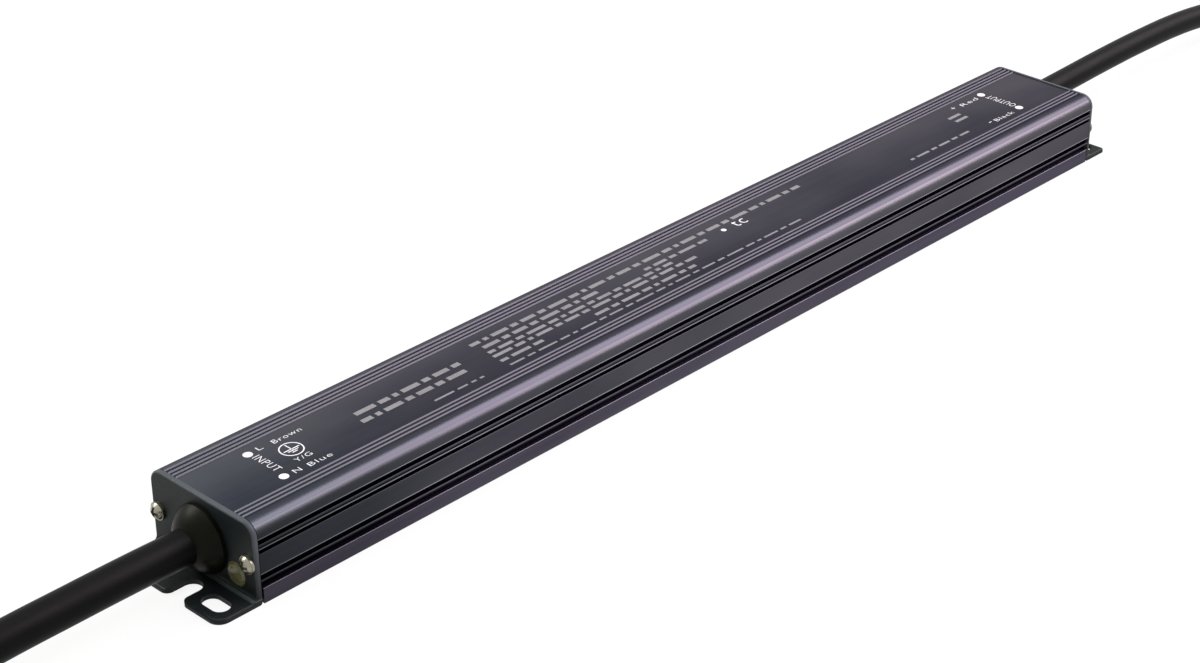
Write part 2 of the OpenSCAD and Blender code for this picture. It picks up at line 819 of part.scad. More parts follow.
// The insulating film on the tray, open where the thermal pads go through
module insulating_liner() {
  half = cavity_half - ledge_d - board_side_clear;
  color("#d8d2bd") translate([0, 0, tray_t]) linear_extrude(liner_t) difference() {
    rounded_rect([2 * board_half_l, 2 * half], board_corner_r);
    for (p = power_chip_places()) translate(p) square(pad_w + 2 * board_side_clear, center = true);
  }
}

// A wire leg from a part down to the board
module leg(x, y, z) {
  translate([x, y, board_top]) cylinder(d = leg_d, h = z - board_top, $fn = 16);
}

// A can, disc or tube lying along X with softened end edges
module lying_round(d, l) {
  soft = d / 12;
  rotate([0, 90, 0]) rotate_extrude() polygon([
    [0, -l / 2], [d / 2 - soft, -l / 2], [d / 2, soft - l / 2],
    [d / 2, l / 2 - soft], [d / 2 - soft, l / 2], [0, l / 2]
  ]);
}

// A moulded block with its lower corner at the given height and broken upright edges
module block(size) {
  linear_extrude(size[2]) rounded_rect([size[0], size[1]], min(size[0], size[1]) / 8);
}

module fuse() {
  x = from_input(fuse_at[0]);
  z = stand_z + fuse_d / 2;
  tube_d = fuse_d * 0.92;
  cap_l = fuse_l * 0.28;
  cap_x = (fuse_l - cap_l) / 2;
  color("#d9d3c2") {
    translate([x, fuse_at[1], z]) {
      lying_round(tube_d, fuse_l);
      for (s = [-1, 1]) translate([s * cap_x, 0, 0]) lying_round(fuse_d, cap_l);
    }
    for (s = [-1, 1]) leg(x + s * cap_x, fuse_at[1], z);
  }
}

module surge_varistor() {
  x = from_input(varistor_at[0]);
  color("#2b4d8c") {
    translate([x, varistor_at[1], stand_z + varistor_d / 2]) lying_round(varistor_d, varistor_t);
    for (s = [-1, 1])
      leg(x, varistor_at[1] + s * varistor_d / 4, stand_z + varistor_d / 2);
  }
}

module interference_capacitor() {
  color("#c9b23c") translate([from_input(x_cap_at[0]), x_cap_at[1], board_top])
    block([x_cap_l, x_cap_w, x_cap_h]);
}

// Section of the filter choke's ring, grown on all sides
module choke_section(grow) {
  translate([choke_bore / 2 - grow, -grow])
    square([(choke_d - choke_bore) / 2 + 2 * grow, choke_h + 2 * grow]);
}

module choke_place() {
  translate([from_input(choke_at[0]), choke_at[1], stand_z + choke_wire + wound_clear]) children();
}

module filter_choke_core() {
  color(ferrite) choke_place() rotate_extrude() choke_section(0);
}

module filter_choke_windings() {
  color(copper) choke_place() for (a = [0, 180])
    rotate([0, 0, a - choke_angle / 2]) rotate_extrude(angle = choke_angle) difference() {
      choke_section(choke_wire + wound_clear);
      choke_section(wound_clear);
    }
}

module bridge_rectifier() {
  corner = bridge_h / 4;
  color(mould_black) translate([from_input(bridge_at[0]), bridge_at[1], board_top])
    along_y(bridge_t) polygon([
      [-bridge_l / 2, 0], [bridge_l / 2, 0], [bridge_l / 2, bridge_h],
      [corner - bridge_l / 2, bridge_h], [-bridge_l / 2, bridge_h - corner]
    ]);
}

module dimming_controller() {
  color(mould_black) translate([from_input(controller_at[0]), controller_at[1], board_top])
    block(controller_size);
}

// Wound parts: the middle leg of the core runs along X

// Height of the middle of a core above the board
core_lift = stand_off + coil_t + core_h / 2;
// Legs of a core of the given width, and the window between two of them
function core_leg(w) = w * core_leg_share;
function core_mid(w) = w * core_mid_share;
function window_w(w) = (w - core_mid(w)) / 2 - core_leg(w);

// Two E-shaped halves that meet across a small gap
module e_core(l, w) {
  for (s = [-1, 1]) translate([s * wound_clear / 2, 0, board_top + core_lift - core_h / 2])
    linear_extrude(core_h) difference() {
      translate([s > 0 ? 0 : -l / 2, -w / 2]) square([l / 2, w]);
      for (t = [-1, 1]) translate([0, t * (core_mid(w) + window_w(w)) / 2])
        square([l - 2 * core_leg(w), window_w(w)], center = true);
    }
}

// Size of the middle leg's section, grown on all sides, in Y and Z
function sleeve_size(w, grow) = [core_mid(w) + 2 * grow, core_h + 2 * grow];
// Length of the former between the yokes of a core
function former_l(l, w) = l - 2 * core_leg(w) - 2 * wound_clear;
// Width and height of a former's end flanges
function flange_size(w) = [w - 2 * core_leg(w) - 2 * wound_clear, core_h + 2 * coil_t];

module former(l, w) {
  half = former_l(l, w) / 2;
  translate([0, 0, board_top + core_lift]) difference() {
    union() {
      along_x(-half, half) square(sleeve_size(w, wound_clear + former_t), center = true);
      for (s = [-1, 1]) translate([s * (half - former_t / 2), 0, 0])
        along_x(-former_t / 2, former_t / 2) square(flange_size(w), center = true);
    }
    along_x(-half - eps, half + eps) square(sleeve_size(w, wound_clear), center = true);
  }
}

module winding(l, w) {
  half = former_l(l, w) / 2 - former_t - wound_clear;
  inner = sleeve_size(w, former_t + 2 * wound_clear);
  outer = [core_mid(w) + 2 * (window_w(w) - former_t), inner[1] + 2 * winding_t];
  translate([0, 0, board_top + core_lift]) along_x(-half, half) difference() {
    rounded_rect(outer, winding_t);
    square(inner, center = true);
  }
}

module boost_inductor_core() {
  color(ferrite) translate([from_input(boost_at), 0, 0]) e_core(boost_l, boost_w);
}

module boost_inductor_former() {
  color(mould_black) translate([from_input(boost_at), 0, 0]) former(boost_l, boost_w);
}

module boost_inductor_winding() {
  color(copper) translate([from_input(boost_at), 0, 0]) winding(boost_l, boost_w);
}

module transformer_core() {
  color(ferrite) translate([from_output(transformer_at), 0, 0])
    e_core(transformer_l, transformer_w);
}

module transformer_former() {
  color(mould_black) translate([from_output(transformer_at), 0, 0])
    former(transformer_l, transformer_w);
}

module transformer_winding() {
  color("#c9a62e") translate([from_output(transformer_at), 0, 0])
    winding(transformer_l, transformer_w);
}

// Two cans lying side by side, with their legs turned down at the input end
module lying_pair(x, d, l) {
  y = d / 2 + pair_half_gap;
  for (s = [-1, 1]) {
    translate([x, s * y, stand_z + d / 2]) lying_round(d, l);
    for (t = [-1, 1]) {
      translate([x - l / 2 - leg_d, s * y + t * d / 4, stand_z + d / 2]) rotate([0, 90, 0])
        cylinder(d = leg_d, h = leg_d * 1.5, $fn = 16);
      leg(x - l / 2 - leg_d, s * y + t * d / 4, stand_z + d / 2);
    }
  }
}

module storage_capacitors() {
  color(sleeve) lying_pair(from_input(bulk_at), bulk_d, bulk_l);
}

module output_capacitors() {
  color(sleeve) lying_pair(from_output(out_cap_at), out_cap_d, out_cap_l);
}

module isolation_capacitor() {
  x = from_output(y_cap_at[0]);
  color("#3a6fb0") {
    translate([x, y_cap_at[1], stand_z + y_cap_d / 2]) lying_round(y_cap_d, y_cap_t);
    for (s = [-1, 1]) leg(x, y_cap_at[1] + s * y_cap_d / 4, stand_z + y_cap_d / 2);
  }
}

module optocoupler() {
  color("#e4e0d4") translate([from_output(opto_at[0]), opto_at[1], board_top]) block(opto_size);
}

// A drum with a waist that the winding fills
module output_choke_core() {
  color(ferrite) translate([from_output(drum_at), 0, board_top]) {
    cylinder(d = drum_d, h = drum_rim);
    cylinder(d = drum_d / 2, h = drum_h);
    translate([0, 0, drum_h - drum_rim]) cylinder(d = drum_d, h = drum_rim);
  }
}

module output_choke_winding() {
  color(copper)
    translate([from_output(drum_at), 0, board_top + drum_rim + wound_clear]) difference() {
      cylinder(d = drum_coil_d, h = drum_h - 2 * drum_rim - 2 * wound_clear);
      translate([0, 0, -eps]) cylinder(d = drum_d / 2 + 2 * wound_clear, h = drum_h);
    }
}

// Power chips under the board, cooled by the tray through thermal pads

function transistor_places() =
  [for (s = [-1, 1]) [from_input(transistor_at[0]), s * transistor_at[1]]];
function rectifier_places() =
  [for (s = [-1, 1]) [from_output(rectifier_at[0]), s * rectifier_at[1]]];
function power_chip_places() = concat(transistor_places(), rectifier_places());

module power_chips(places) {
  for (p = places) translate([p[0], p[1], board_z - chip_t]) block([chip_w, chip_w, chip_t]);
}

module power_transistors() {
  color(mould_black) power_chips(transistor_places());
}

module output_rectifiers() {
  color(mould_black) power_chips(rectifier_places());
}

module thermal_pads() {
  color("#9aa0a6") for (p = power_chip_places())
    translate([p[0], p[1], tray_t]) block([pad_w, pad_w, board_z - chip_t - tray_t]);
}

// Cables, their leads inside the case and their stripped ends

// Points of the input cable and of the output cable in the object's frame
input_path = [for (p = input_route) [-plate_out - p[0], p[1], p[2]]];
output_path = [for (p = output_route) [plate_out + p[0], output_gland_y + p[1], p[2]]];

// A lead from a jacket's inner end to its pad on the board
function lead_path(start, towards, pad_y) =
  let (land = [towards * (pad_in - board_half_l), pad_y, board_top + core_d / 2 + stand_off])
  [
    start, start + [towards * 1.5, 0, 0],
    [start[0] * 0.6 + land[0] * 0.4, start[1] * 0.6 + land[1] * 0.4, start[2] * 0.75 + land[2] * 0.25],
    [start[0] * 0.3 + land[0] * 0.7, start[1] * 0.2 + land[1] * 0.8, start[2] * 0.3 + land[2] * 0.7],
    land - [towards * 1.5, 0, 0], land
  ];

module input_lead(i) {
  spot = input_core_spots[i];
  start = input_path[0] + [0, spot[0], spot[1]];
  tube(lead_path(start, 1, input_pads[i]), core_d, 8);
}

module output_lead(i) {
  spot = output_core_spots[i];
  start = output_path[0] + [0, spot[0], spot[1]];
  tube(lead_path(start, -1, output_gland_y / 2 + output_pads[i]), core_d, 8);
}

// A core that spreads from the end of a jacket and comes down to the surface
function tail_path(start, towards, spread) =
  [for (p = tail_steps)
    [start[0] + towards * p[0], start[1] + spread * p[1], start[2] + (core_floor - start[2]) * p[2]]];

function input_tail(i) =
  let (last = input_path[len(input_path) - 1], spot = input_core_spots[i])
  tail_path(last + [0, spot[0], spot[1]], -1, input_tail_spread[i]);

function output_tail(i) =
  let (last = output_path[len(output_path) - 1], spot = output_core_spots[i])
  tail_path(last + [0, spot[0], spot[1]], 1, output_tail_spread[i]);

// The bare strands at the end of a core, tinned and rounded at the tip
module strands(path) {
  end = path[len(path) - 1];
  towards = sign(end[0]);
  translate(end) rotate([0, towards * 90, 0]) {
    cylinder(d = strand_d, h = strand_l - strand_d / 2, $fn = 24);
    translate([0, 0, strand_l - strand_d / 2]) sphere(d = strand_d, $fn = 24);
  }
}

module input_live_lead() { color(core_brown) input_lead(0); }
module input_neutral_lead() { color(core_blue) input_lead(1); }
module input_earth_lead() { color(core_earth) input_lead(2); }
module output_positive_lead() { color(core_red) output_lead(0); }
module output_negative_lead() { color(core_black) output_lead(1); }

module input_cable() { color(rubber_black) tube(input_path, input_cable_d, 12); }
module input_live_tail() { color(core_brown) tube(input_tail(0), core_d, 8); }
module input_neutral_tail() { color(core_blue) tube(input_tail(1), core_d, 8); }
module input_earth_tail() { color(core_earth) tube(input_tail(2), core_d, 8); }
module output_cable() { color(rubber_black) tube(output_path, output_cable_d, 12); }
module output_positive_tail() { color(core_red) tube(output_tail(0), core_d, 8); }
module output_negative_tail() { color(core_black) tube(output_tail(1), core_d, 8); }

module tinned_ends() {
  color(tinned) {
    for (i = [0 : 2]) strands(input_tail(i));
    for (i = [0 : 1]) strands(output_tail(i));
  }
}

housing_profile();
base_tray();
input_end_plate();
output_end_plate();
input_gasket();
output_gasket();
input_gland();
output_gland();
input_end_screws();
output_end_screws();
tamper_seal();
circuit_board();
insulating_liner();
fuse();
surge_varistor();
interference_capacitor();
filter_choke_core();
filter_choke_windings();
bridge_rectifier();
dimming_controller();
boost_inductor_core();
boost_inductor_former();
boost_inductor_winding();
storage_capacitors();
power_transistors();
thermal_pads();
transformer_core();
transformer_former();
transformer_winding();
isolation_capacitor();
optocoupler();
output_rectifiers();
output_capacitors();
output_choke_core();
output_choke_winding();
input_live_lead();
input_neutral_lead();
input_earth_lead();
output_positive_lead();
output_negative_lead();
input_cable();
input_live_tail();
input_neutral_tail();
input_earth_tail();
output_cable();
output_positive_tail();
output_negative_tail();
tinned_ends();
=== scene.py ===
"""LED driver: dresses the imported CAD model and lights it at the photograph's angle.

Everything is in metres and in the CAD model's own frame. +X runs from the mains end to the lamp
end, the -Y side faces the camera, and the underside rests on Z = 0.
"""

from __future__ import annotations

import json
import logging
import math
from dataclasses import dataclass
from enum import Enum
from typing import Any, Mapping, Sequence

import bpy
import numpy as np
from mathutils import Matrix, Vector
from numpy.typing import NDArray

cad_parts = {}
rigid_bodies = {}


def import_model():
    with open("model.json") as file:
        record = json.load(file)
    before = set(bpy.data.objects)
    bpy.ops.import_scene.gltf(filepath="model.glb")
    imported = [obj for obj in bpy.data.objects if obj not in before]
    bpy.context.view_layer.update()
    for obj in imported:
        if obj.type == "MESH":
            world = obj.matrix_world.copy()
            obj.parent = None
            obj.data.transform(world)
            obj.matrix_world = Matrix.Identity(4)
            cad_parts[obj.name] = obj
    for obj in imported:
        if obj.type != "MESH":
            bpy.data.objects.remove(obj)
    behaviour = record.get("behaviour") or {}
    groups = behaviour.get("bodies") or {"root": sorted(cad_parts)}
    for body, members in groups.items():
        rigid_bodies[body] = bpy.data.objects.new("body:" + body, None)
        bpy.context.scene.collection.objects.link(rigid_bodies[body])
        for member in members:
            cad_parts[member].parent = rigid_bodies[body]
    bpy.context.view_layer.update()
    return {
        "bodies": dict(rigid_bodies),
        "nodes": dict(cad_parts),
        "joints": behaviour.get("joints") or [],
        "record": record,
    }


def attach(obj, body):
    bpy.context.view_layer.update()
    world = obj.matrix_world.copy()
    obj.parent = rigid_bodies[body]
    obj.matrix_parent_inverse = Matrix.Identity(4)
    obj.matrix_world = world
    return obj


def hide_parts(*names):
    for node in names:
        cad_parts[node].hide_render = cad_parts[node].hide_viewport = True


MM = 0.001
BODY = "root"
# The case in mm: the outer face of each end plate along X, half the width, and the height.
PLATE_X, HALF_W, CASE_H = 154.0, 17.5, 20.0
# Edges that turn by more degrees than this stay sharp.
SHARP_DEG = 40.0
# Nearly all of a noise texture's values lie between these two.
NOISE_LOW, NOISE_HIGH = 0.3, 0.7
WHITE = "#ffffff"
Array = NDArray[np.float64]
Point = tuple[float, float, float]
Tree = bpy.types.NodeTree
Socket = bpy.types.NodeSocket
LOG = logging.getLogger("led_driver")


def linear(code: str) -> tuple[float, float, float, float]:
    """Turns an sRGB hex colour into the linear colour that shaders take, by the standard's curve.

    Args:
        code: colour such as "#4a4850".

    Returns:
        Linear red, green and blue, and an alpha of 1.
    """
    srgb = np.array([int(code[i:i + 2], 16) for i in (1, 3, 5)]) / 255
    flat = np.where(srgb <= 0.04045, srgb / 12.92, ((srgb + 0.055) / 1.055) ** 2.4)
    return (*map(float, flat), 1.0)


def add_node(tree: Tree, kind: str, inputs: Mapping[str | int, object] | None = None,
             **settings: object) -> bpy.types.Node:
    """Adds one shader node, with its settings and links.

    Args:
        tree: node tree that takes the node.
        kind: Blender's name of the node's type, without its "ShaderNode".
        inputs: each socket's name or number, and its value or the output that feeds it.
        settings: the node's own properties.

    Returns:
        The new node.
    """
    node = tree.nodes.new("ShaderNode" + kind)
    for key, value in settings.items():
        setattr(node, key, value)
    for key, value in (inputs or {}).items():
        if isinstance(value, Socket):
            tree.links.new(value, node.inputs[key])
        else:
            node.inputs[key].default_value = value
    return node


@dataclass(frozen=True)
class Grain:
    """One size of texture: its length along X, Y and Z in mm, and its share of the pattern."""

    size_mm: Point
    share: float
    detail: float = 3.0

    @classmethod
    def even(cls, size_mm: float, share: float = 1.0) -> Grain:
        """Gives a texture of one size every way."""
        return cls((size_mm, size_mm, size_mm), share)


@dataclass(frozen=True)
class Zone:
    """Part of a section with its own tone: from and to in distance aside and in height, in mm."""

    aside: tuple[float, float]
    height: tuple[float, float]
    tone: str

    def within(self, tree: Tree, aside: Socket, height: Socket) -> Socket:
        """Tells where a point lies between both pairs of bounds.

        Args:
            tree: the material's node tree.
            aside: socket with the distance from the middle plane.
            height: socket with the height.

        Returns:
            A socket that is 1 inside the zone and 0 outside it.
        """
        tests = [add_node(tree, "Math", {
            0: place, 1: (low + high) / 2 * MM, 2: (high - low) / 2 * MM}, operation="COMPARE")
            for place, (low, high) in ((aside, self.aside), (height, self.height))]
        return add_node(tree, "Math", {
            0: tests[0].outputs[0], 1: tests[1].outputs[0]}, operation="MULTIPLY").outputs[0]


@dataclass(frozen=True)
class Finish:
    """A surface finish: two tones of its colour, its range of roughness and its texture.

    The pattern is the sum of the grains' noises, each times its share. It mixes the two tones,
    moves the roughness along its range and stands up as a bump of the relief's height. The zones'
    tones lie over the mixed ones.
    """

    name: str
    tones: tuple[str, str]
    roughness: tuple[float, float]
    grains: tuple[Grain, ...]
    relief_mm: float = 0.0
    metallic: float = 0.0
    specular: float = 0.5
    transmission: float = 0.0
    edge_tint: str = WHITE
    zones: tuple[Zone, ...] = ()

    def material(self) -> bpy.types.Material:
        """Gives the finish's material, which is made once."""
        return bpy.data.materials.get(self.name) or self.make()

    def make(self) -> bpy.types.Material:
        """Builds the material's nodes.

        Returns:
            The new material.
        """
        material = bpy.data.materials.new(self.name)
        material.use_nodes = True
        tree = material.node_tree
        tree.nodes.clear()
        pattern = self.pattern(tree)
        rough = add_node(tree, "MapRange", {
            "Value": pattern, "From Min": NOISE_LOW, "From Max": NOISE_HIGH,
            "To Min": self.roughness[0], "To Max": self.roughness[1]})
        bump = add_node(tree, "Bump", {
            "Strength": 1.0, "Distance": self.relief_mm * MM, "Height": pattern})
        shader = add_node(tree, "BsdfPrincipled", {
            "Base Color": self.colour(tree, pattern), "Roughness": rough.outputs[0],
            "Metallic": self.metallic, "Specular IOR Level": self.specular,
            "Specular Tint": linear(self.edge_tint), "Transmission Weight": self.transmission,
            "Normal": bump.outputs[0]})
        add_node(tree, "OutputMaterial", {"Surface": shader.outputs[0]})
        return material

    def pattern(self, tree: Tree) -> Socket:
        """Adds up the grains' noises on Object coordinates.

        Args:
            tree: the material's node tree.

        Returns:
            The socket with the pattern, mostly within the noise's range.
        """
        place = add_node(tree, "TexCoord").outputs["Object"]
        total: Socket | float = 0.0
        for grain in self.grains:
            scale = tuple(1 / (size * MM) for size in grain.size_mm)
            spot = add_node(tree, "Mapping", {"Vector": place, "Scale": scale})
            noise = add_node(tree, "TexNoise", {
                "Vector": spot.outputs[0], "Scale": 1.0, "Detail": grain.detail})
            total = add_node(tree, "Math", {
                0: noise.outputs[0], 1: grain.share, 2: total}, operation="MULTIPLY_ADD").outputs[0]
        return total

    def colour(self, tree: Tree, pattern: Socket) -> Socket:
        """Mixes the two tones by the pattern, and lays the zones' tones over them.

        Args:
            tree: the material's node tree.
            pattern: socket with the pattern.

        Returns:
            The socket with the colour.
        """
        spread = add_node(tree, "MapRange", {
            "Value": pattern, "From Min": NOISE_LOW, "From Max": NOISE_HIGH})
        ground = add_node(tree, "Mix", {
            0: spread.outputs[0], 6: linear(self.tones[0]), 7: linear(self.tones[1])},
            data_type="RGBA").outputs[2]
        if self.zones:
            spot = add_node(tree, "SeparateXYZ", {0: add_node(tree, "TexCoord").outputs["Object"]})
            aside = add_node(tree, "Math", {0: spot.outputs["Y"]}, operation="ABSOLUTE").outputs[0]
            for zone in self.zones:
                inside = zone.within(tree, aside, spot.outputs["Z"])
                ground = add_node(tree, "Mix", {
                    0: inside, 6: ground, 7: linear(zone.tone)}, data_type="RGBA").outputs[2]
        return ground


@dataclass(frozen=True)
class StripedInsulation(Finish):
    """Core insulation with a second colour in a stripe that winds along the core."""

    stripe: str = "#d8c21c"
    stripe_share: float = 0.4
    turns: float = 1.5

    def colour(self, tree: Tree, pattern: Socket) -> Socket:
        """Lays the stripe over the mixed tones, where the turn about the core is in its share.

        Args:
            tree: the material's node tree.
            pattern: socket with the pattern.

        Returns:
            The socket with the colour.
        """
        ground = super().colour(tree, pattern)
        spot = add_node(tree, "SeparateXYZ", {0: add_node(tree, "TexCoord").outputs["UV"]})
        turn = add_node(tree, "Math", {
            0: spot.outputs["Y"], 1: self.turns, 2: spot.outputs["X"]}, operation="MULTIPLY_ADD")
        share = add_node(tree, "Math", {0: turn.outputs[0]}, operation="FRACT")
        inside = add_node(tree, "Math", {
            0: share.outputs[0], 1: self.stripe_share}, operation="LESS_THAN")
        return add_node(tree, "Mix", {
            0: inside.outputs[0], 6: ground, 7: linear(self.stripe)}, data_type="RGBA").outputs[2]


@dataclass(frozen=True)
class PaintedHighlightRimCoat(Finish):
    """Coating with a painted highlight on the rim of an end plate, stronger higher up, in mm.

    The rim is where the distance past the plate's inner rectangle, which lies a corner's radius
    inside its sides and top, comes within the rim's width of that radius. The painted highlight's
    share of the tone grows evenly from 0 at the bend's height to 1 at the full height.
    """

    rim_highlight_tone: str = WHITE
    rim_w: float = 0.55
    bend_z: float = 1.5
    full_z: float = 15.0
    corner_r: float = 3.5

    def colour(self, tree: Tree, pattern: Socket) -> Socket:
        """Lays the rim's painted highlight over the mixed tones.

        Args:
            tree: the material's node tree.
            pattern: socket with the pattern.

        Returns:
            The socket with the colour.
        """
        ground = super().colour(tree, pattern)
        spot = add_node(tree, "SeparateXYZ", {0: add_node(tree, "TexCoord").outputs["Object"]})
        aside = add_node(tree, "Math", {0: spot.outputs["Y"]}, operation="ABSOLUTE")
        past = [add_node(tree, "Math", {
            0: add_node(tree, "Math", {
                0: place, 1: (side - self.corner_r) * MM}, operation="SUBTRACT").outputs[0],
            1: 0.0}, operation="MAXIMUM").outputs[0]
            for place, side in ((aside.outputs[0], HALF_W), (spot.outputs["Z"], CASE_H))]
        both = add_node(tree, "CombineXYZ", {0: past[0], 1: past[1]})
        reach = add_node(tree, "VectorMath", {0: both.outputs[0]}, operation="LENGTH")
        rim = add_node(tree, "MapRange", {
            "Value": reach.outputs["Value"], "From Min": (self.corner_r - self.rim_w) * MM,
            "From Max": (self.corner_r - self.rim_w / 2) * MM})
        above = add_node(tree, "MapRange", {
            "Value": spot.outputs["Z"], "From Min": self.bend_z * MM, "From Max": self.full_z * MM})
        share = add_node(tree, "Math", {
            0: rim.outputs[0], 1: above.outputs[0]}, operation="MULTIPLY")
        return add_node(tree, "Mix", {
            0: share.outputs[0], 6: ground, 7: linear(self.rim_highlight_tone)}, data_type="RGBA").outputs[2]


@dataclass(frozen=True)
class DyedExtrusionWithPaintedLight(Finish):
    """Dyed aluminium with painted light: paler towards +Y on top, and painted shade darker by the
    input end, in mm.

    The tone is multiplied by the larger of two ramps. One runs from the painted shade at the input
    end to 1 over the shade's length. The other runs from 0 under the shoulder to the top's painted
    light, which brightens the top face. The tone is also multiplied by the end's painted cool tint
    of light, which runs out to white over the same length.
    """

    shoulder: tuple[float, float] = (16.0, 20.0)
    top_z: float = 19.0
    # Painted light: the top face paler towards +Y and brightened, and painted shade and a cool tint
    # by the input end.
    top_painted_fade: float = 0.0
    top_painted_light: float = 1.25
    end_painted_shade: float = 0.36
    end_painted_shade_l: float = 60.0
    end_painted_tint: str = WHITE

    def pattern(self, tree: Tree) -> Socket:
        """Adds the painted light's fade along Y on the top face to the grains.

        Args:
            tree: the material's node tree.

        Returns:
            The socket with the pattern, which leaves the noise's range at the fade's ends.
        """
        spot = add_node(tree, "SeparateXYZ", {0: add_node(tree, "TexCoord").outputs["Object"]})
        on_top = add_node(tree, "Math", {
            0: spot.outputs["Z"], 1: self.top_z * MM}, operation="GREATER_THAN")
        across = add_node(tree, "Math", {
            0: spot.outputs["Y"], 1: self.top_painted_fade / (HALF_W * MM)}, operation="MULTIPLY")
        return add_node(tree, "Math", {
            0: across.outputs[0], 1: on_top.outputs[0], 2: super().pattern(tree)},
            operation="MULTIPLY_ADD").outputs[0]

    def colour(self, tree: Tree, pattern: Socket) -> Socket:
        """Paints shade and a cool tint on the mixed tones by the input end, and painted light on
        the top.

        Args:
            tree: the material's node tree.
            pattern: socket with the pattern.

        Returns:
            The socket with the colour.
        """
        ground = super().colour(tree, pattern)
        spot = add_node(tree, "SeparateXYZ", {0: add_node(tree, "TexCoord").outputs["Object"]})
        # painted shade by the input end
        along = add_node(tree, "MapRange", {
            "Value": spot.outputs["X"], "From Min": -PLATE_X * MM,
            "From Max": (self.end_painted_shade_l - PLATE_X) * MM, "To Min": self.end_painted_shade, "To Max": 1.0})
        # painted light that brightens the top face
        upward = add_node(tree, "MapRange", {
            "Value": spot.outputs["Z"], "From Min": self.shoulder[0] * MM,
            "From Max": self.shoulder[1] * MM, "To Min": 0.0, "To Max": self.top_painted_light})
        shade = add_node(tree, "Math", {
            0: along.outputs[0], 1: upward.outputs[0]}, operation="MAXIMUM")
        # painted cool tint of light by the input end
        away = add_node(tree, "MapRange", {"Value": along.outputs[0], "From Min": self.end_painted_shade})
        tint = add_node(tree, "Mix", {
            0: away.outputs[0], 6: linear(self.end_painted_tint), 7: linear(WHITE)}, data_type="RGBA")
        for factor in (shade.outputs[0], tint.outputs[2]):
            ground = add_node(tree, "Mix", {
                0: 1.0, 6: ground, 7: factor}, data_type="RGBA", blend_type="MULTIPLY").outputs[2]
        return ground


# Extruded aluminium, dyed and anodised: a satin metal with faint lines from the die along X.
# The die's lines are really about 0.1 mm apart, and are drawn at 0.7 mm so that they show.
DIE_LINES = Grain((200.0, 0.7, 0.7), 0.1)
DYE_CLOUDS = Grain((90.0, 40.0, 40.0), 0.9)
# The tint of what the metal mirrors at a slant.
DYE_EDGE = "#aaa9ad"
# Heights of the side ribs' upper edges and of the grooves' upper lips, in mm.
RIB_EDGES_Z = (6.0, 12.5, 14.8)
LIPS_Z = (7.32, 13.52, 16.02)
# Painted shade deep in the grooves, on the panel beside the top ribs, on those ribs' flanks and on
# the side ribs' upper edges, and painted highlights on the grooves' upper lips.
PAINTED_SHADE_AND_HIGHLIGHT_ZONES = (
    Zone((0.0, 16.9), (0.0, 15.9), "#2b2a31"),
    Zone((9.5, 13.6), (19.74, 19.77), "#38383f"),
    Zone((9.5, 13.85), (19.77, 19.99), "#35353a"),
    *(Zone((16.9, 18.0), (rib - 0.12, rib + 0.01), "#2a2a30") for rib in RIB_EDGES_Z),
    *(Zone((17.0, 18.0), (lip, lip + 0.28), "#9e9da4") for lip in LIPS_Z))
# Its colour holds painted light: a brighter top, paler towards +Y, and painted shade and a cool
# tint by the input end.
ANODISED_HOUSING = DyedExtrusionWithPaintedLight(
    "anodised_aluminium_extruded", ("#3d3d45", "#5a585e"), (0.27, 0.33), (DIE_LINES, DYE_CLOUDS),
    relief_mm=0.004, metallic=1.0, edge_tint=DYE_EDGE, zones=PAINTED_SHADE_AND_HIGHLIGHT_ZONES, top_painted_fade=0.28,
    end_painted_tint="#f1fefb")
# The tray is rolled and folded sheet in the same dye, a little more purple and more even.
# Its colour holds painted shade by the input end, lighter than the housing's.
ANODISED_TRAY = DyedExtrusionWithPaintedLight(
    "anodised_aluminium_sheet", ("#3d3b45", "#55525e"), (0.34, 0.42),
    (Grain((90.0, 1.0, 1.0), 0.3), DYE_CLOUDS),
    relief_mm=0.005, metallic=1.0, edge_tint=DYE_EDGE, end_painted_shade=0.6)
# Polyester powder coat on steel sheet: dark slate with a fine orange peel that breaks up shine,
# with a painted highlight on the rim and along the inside of the bend.
BEND_HIGHLIGHT = Zone((0.0, 18.0), (1.22, 1.6), "#39413e")
POWDER_COAT = PaintedHighlightRimCoat(
    "powder_coated_steel", ("#0c1011", "#13191a"), (0.4, 0.54),
    (Grain.even(0.9, 0.6), Grain.even(9.0, 0.4)), relief_mm=0.012, specular=0.16,
    zones=(BEND_HIGHLIGHT,), rim_highlight_tone="#42474c")
# Silicone gasket sheet, matt and nearly black.
GASKET_RUBBER = Finish(
    "silicone_gasket_sheet", ("#1a1c1e", "#26282b"), (0.6, 0.75),
    (Grain.even(1.5),), relief_mm=0.01)
# Moulded rubber of the glands: black with an olive bloom that shows where light falls on it.
GLAND_RUBBER = Finish(
    "moulded_gland_rubber", ("#080804", "#0f1008"), (0.32, 0.42),
    (Grain.even(0.8, 0.5), Grain.even(5.0, 0.5)), relief_mm=0.012, specular=0.065)
# Extruded PVC jacket: satin black, with slight lines and waves along its length.
CABLE_JACKET = Finish(
    "extruded_pvc_jacket", ("#050505", "#090909"), (0.38, 0.5),
    (Grain((26.0, 1.2, 1.2), 0.6), Grain((7.0, 4.0, 4.0), 0.4)), relief_mm=0.03, specular=0.065)
# Nickel on steel, plated bright: warm white metal with soft scuffs.
NICKEL_PLATE = Finish(
    "nickel_plated_steel", ("#827f71", "#9e9b8d"), (0.26, 0.36),
    (Grain.even(0.5, 0.6), Grain.even(2.0, 0.4)), relief_mm=0.002, metallic=1.0)
# Sealing lacquer: an olive drop that the dark plate shows through.
SEAL_LACQUER = Finish(
    "olive_sealing_lacquer", ("#575739", "#706f4a"), (0.14, 0.26),
    (Grain.even(1.4),), relief_mm=0.02, transmission=0.25, specular=0.3)
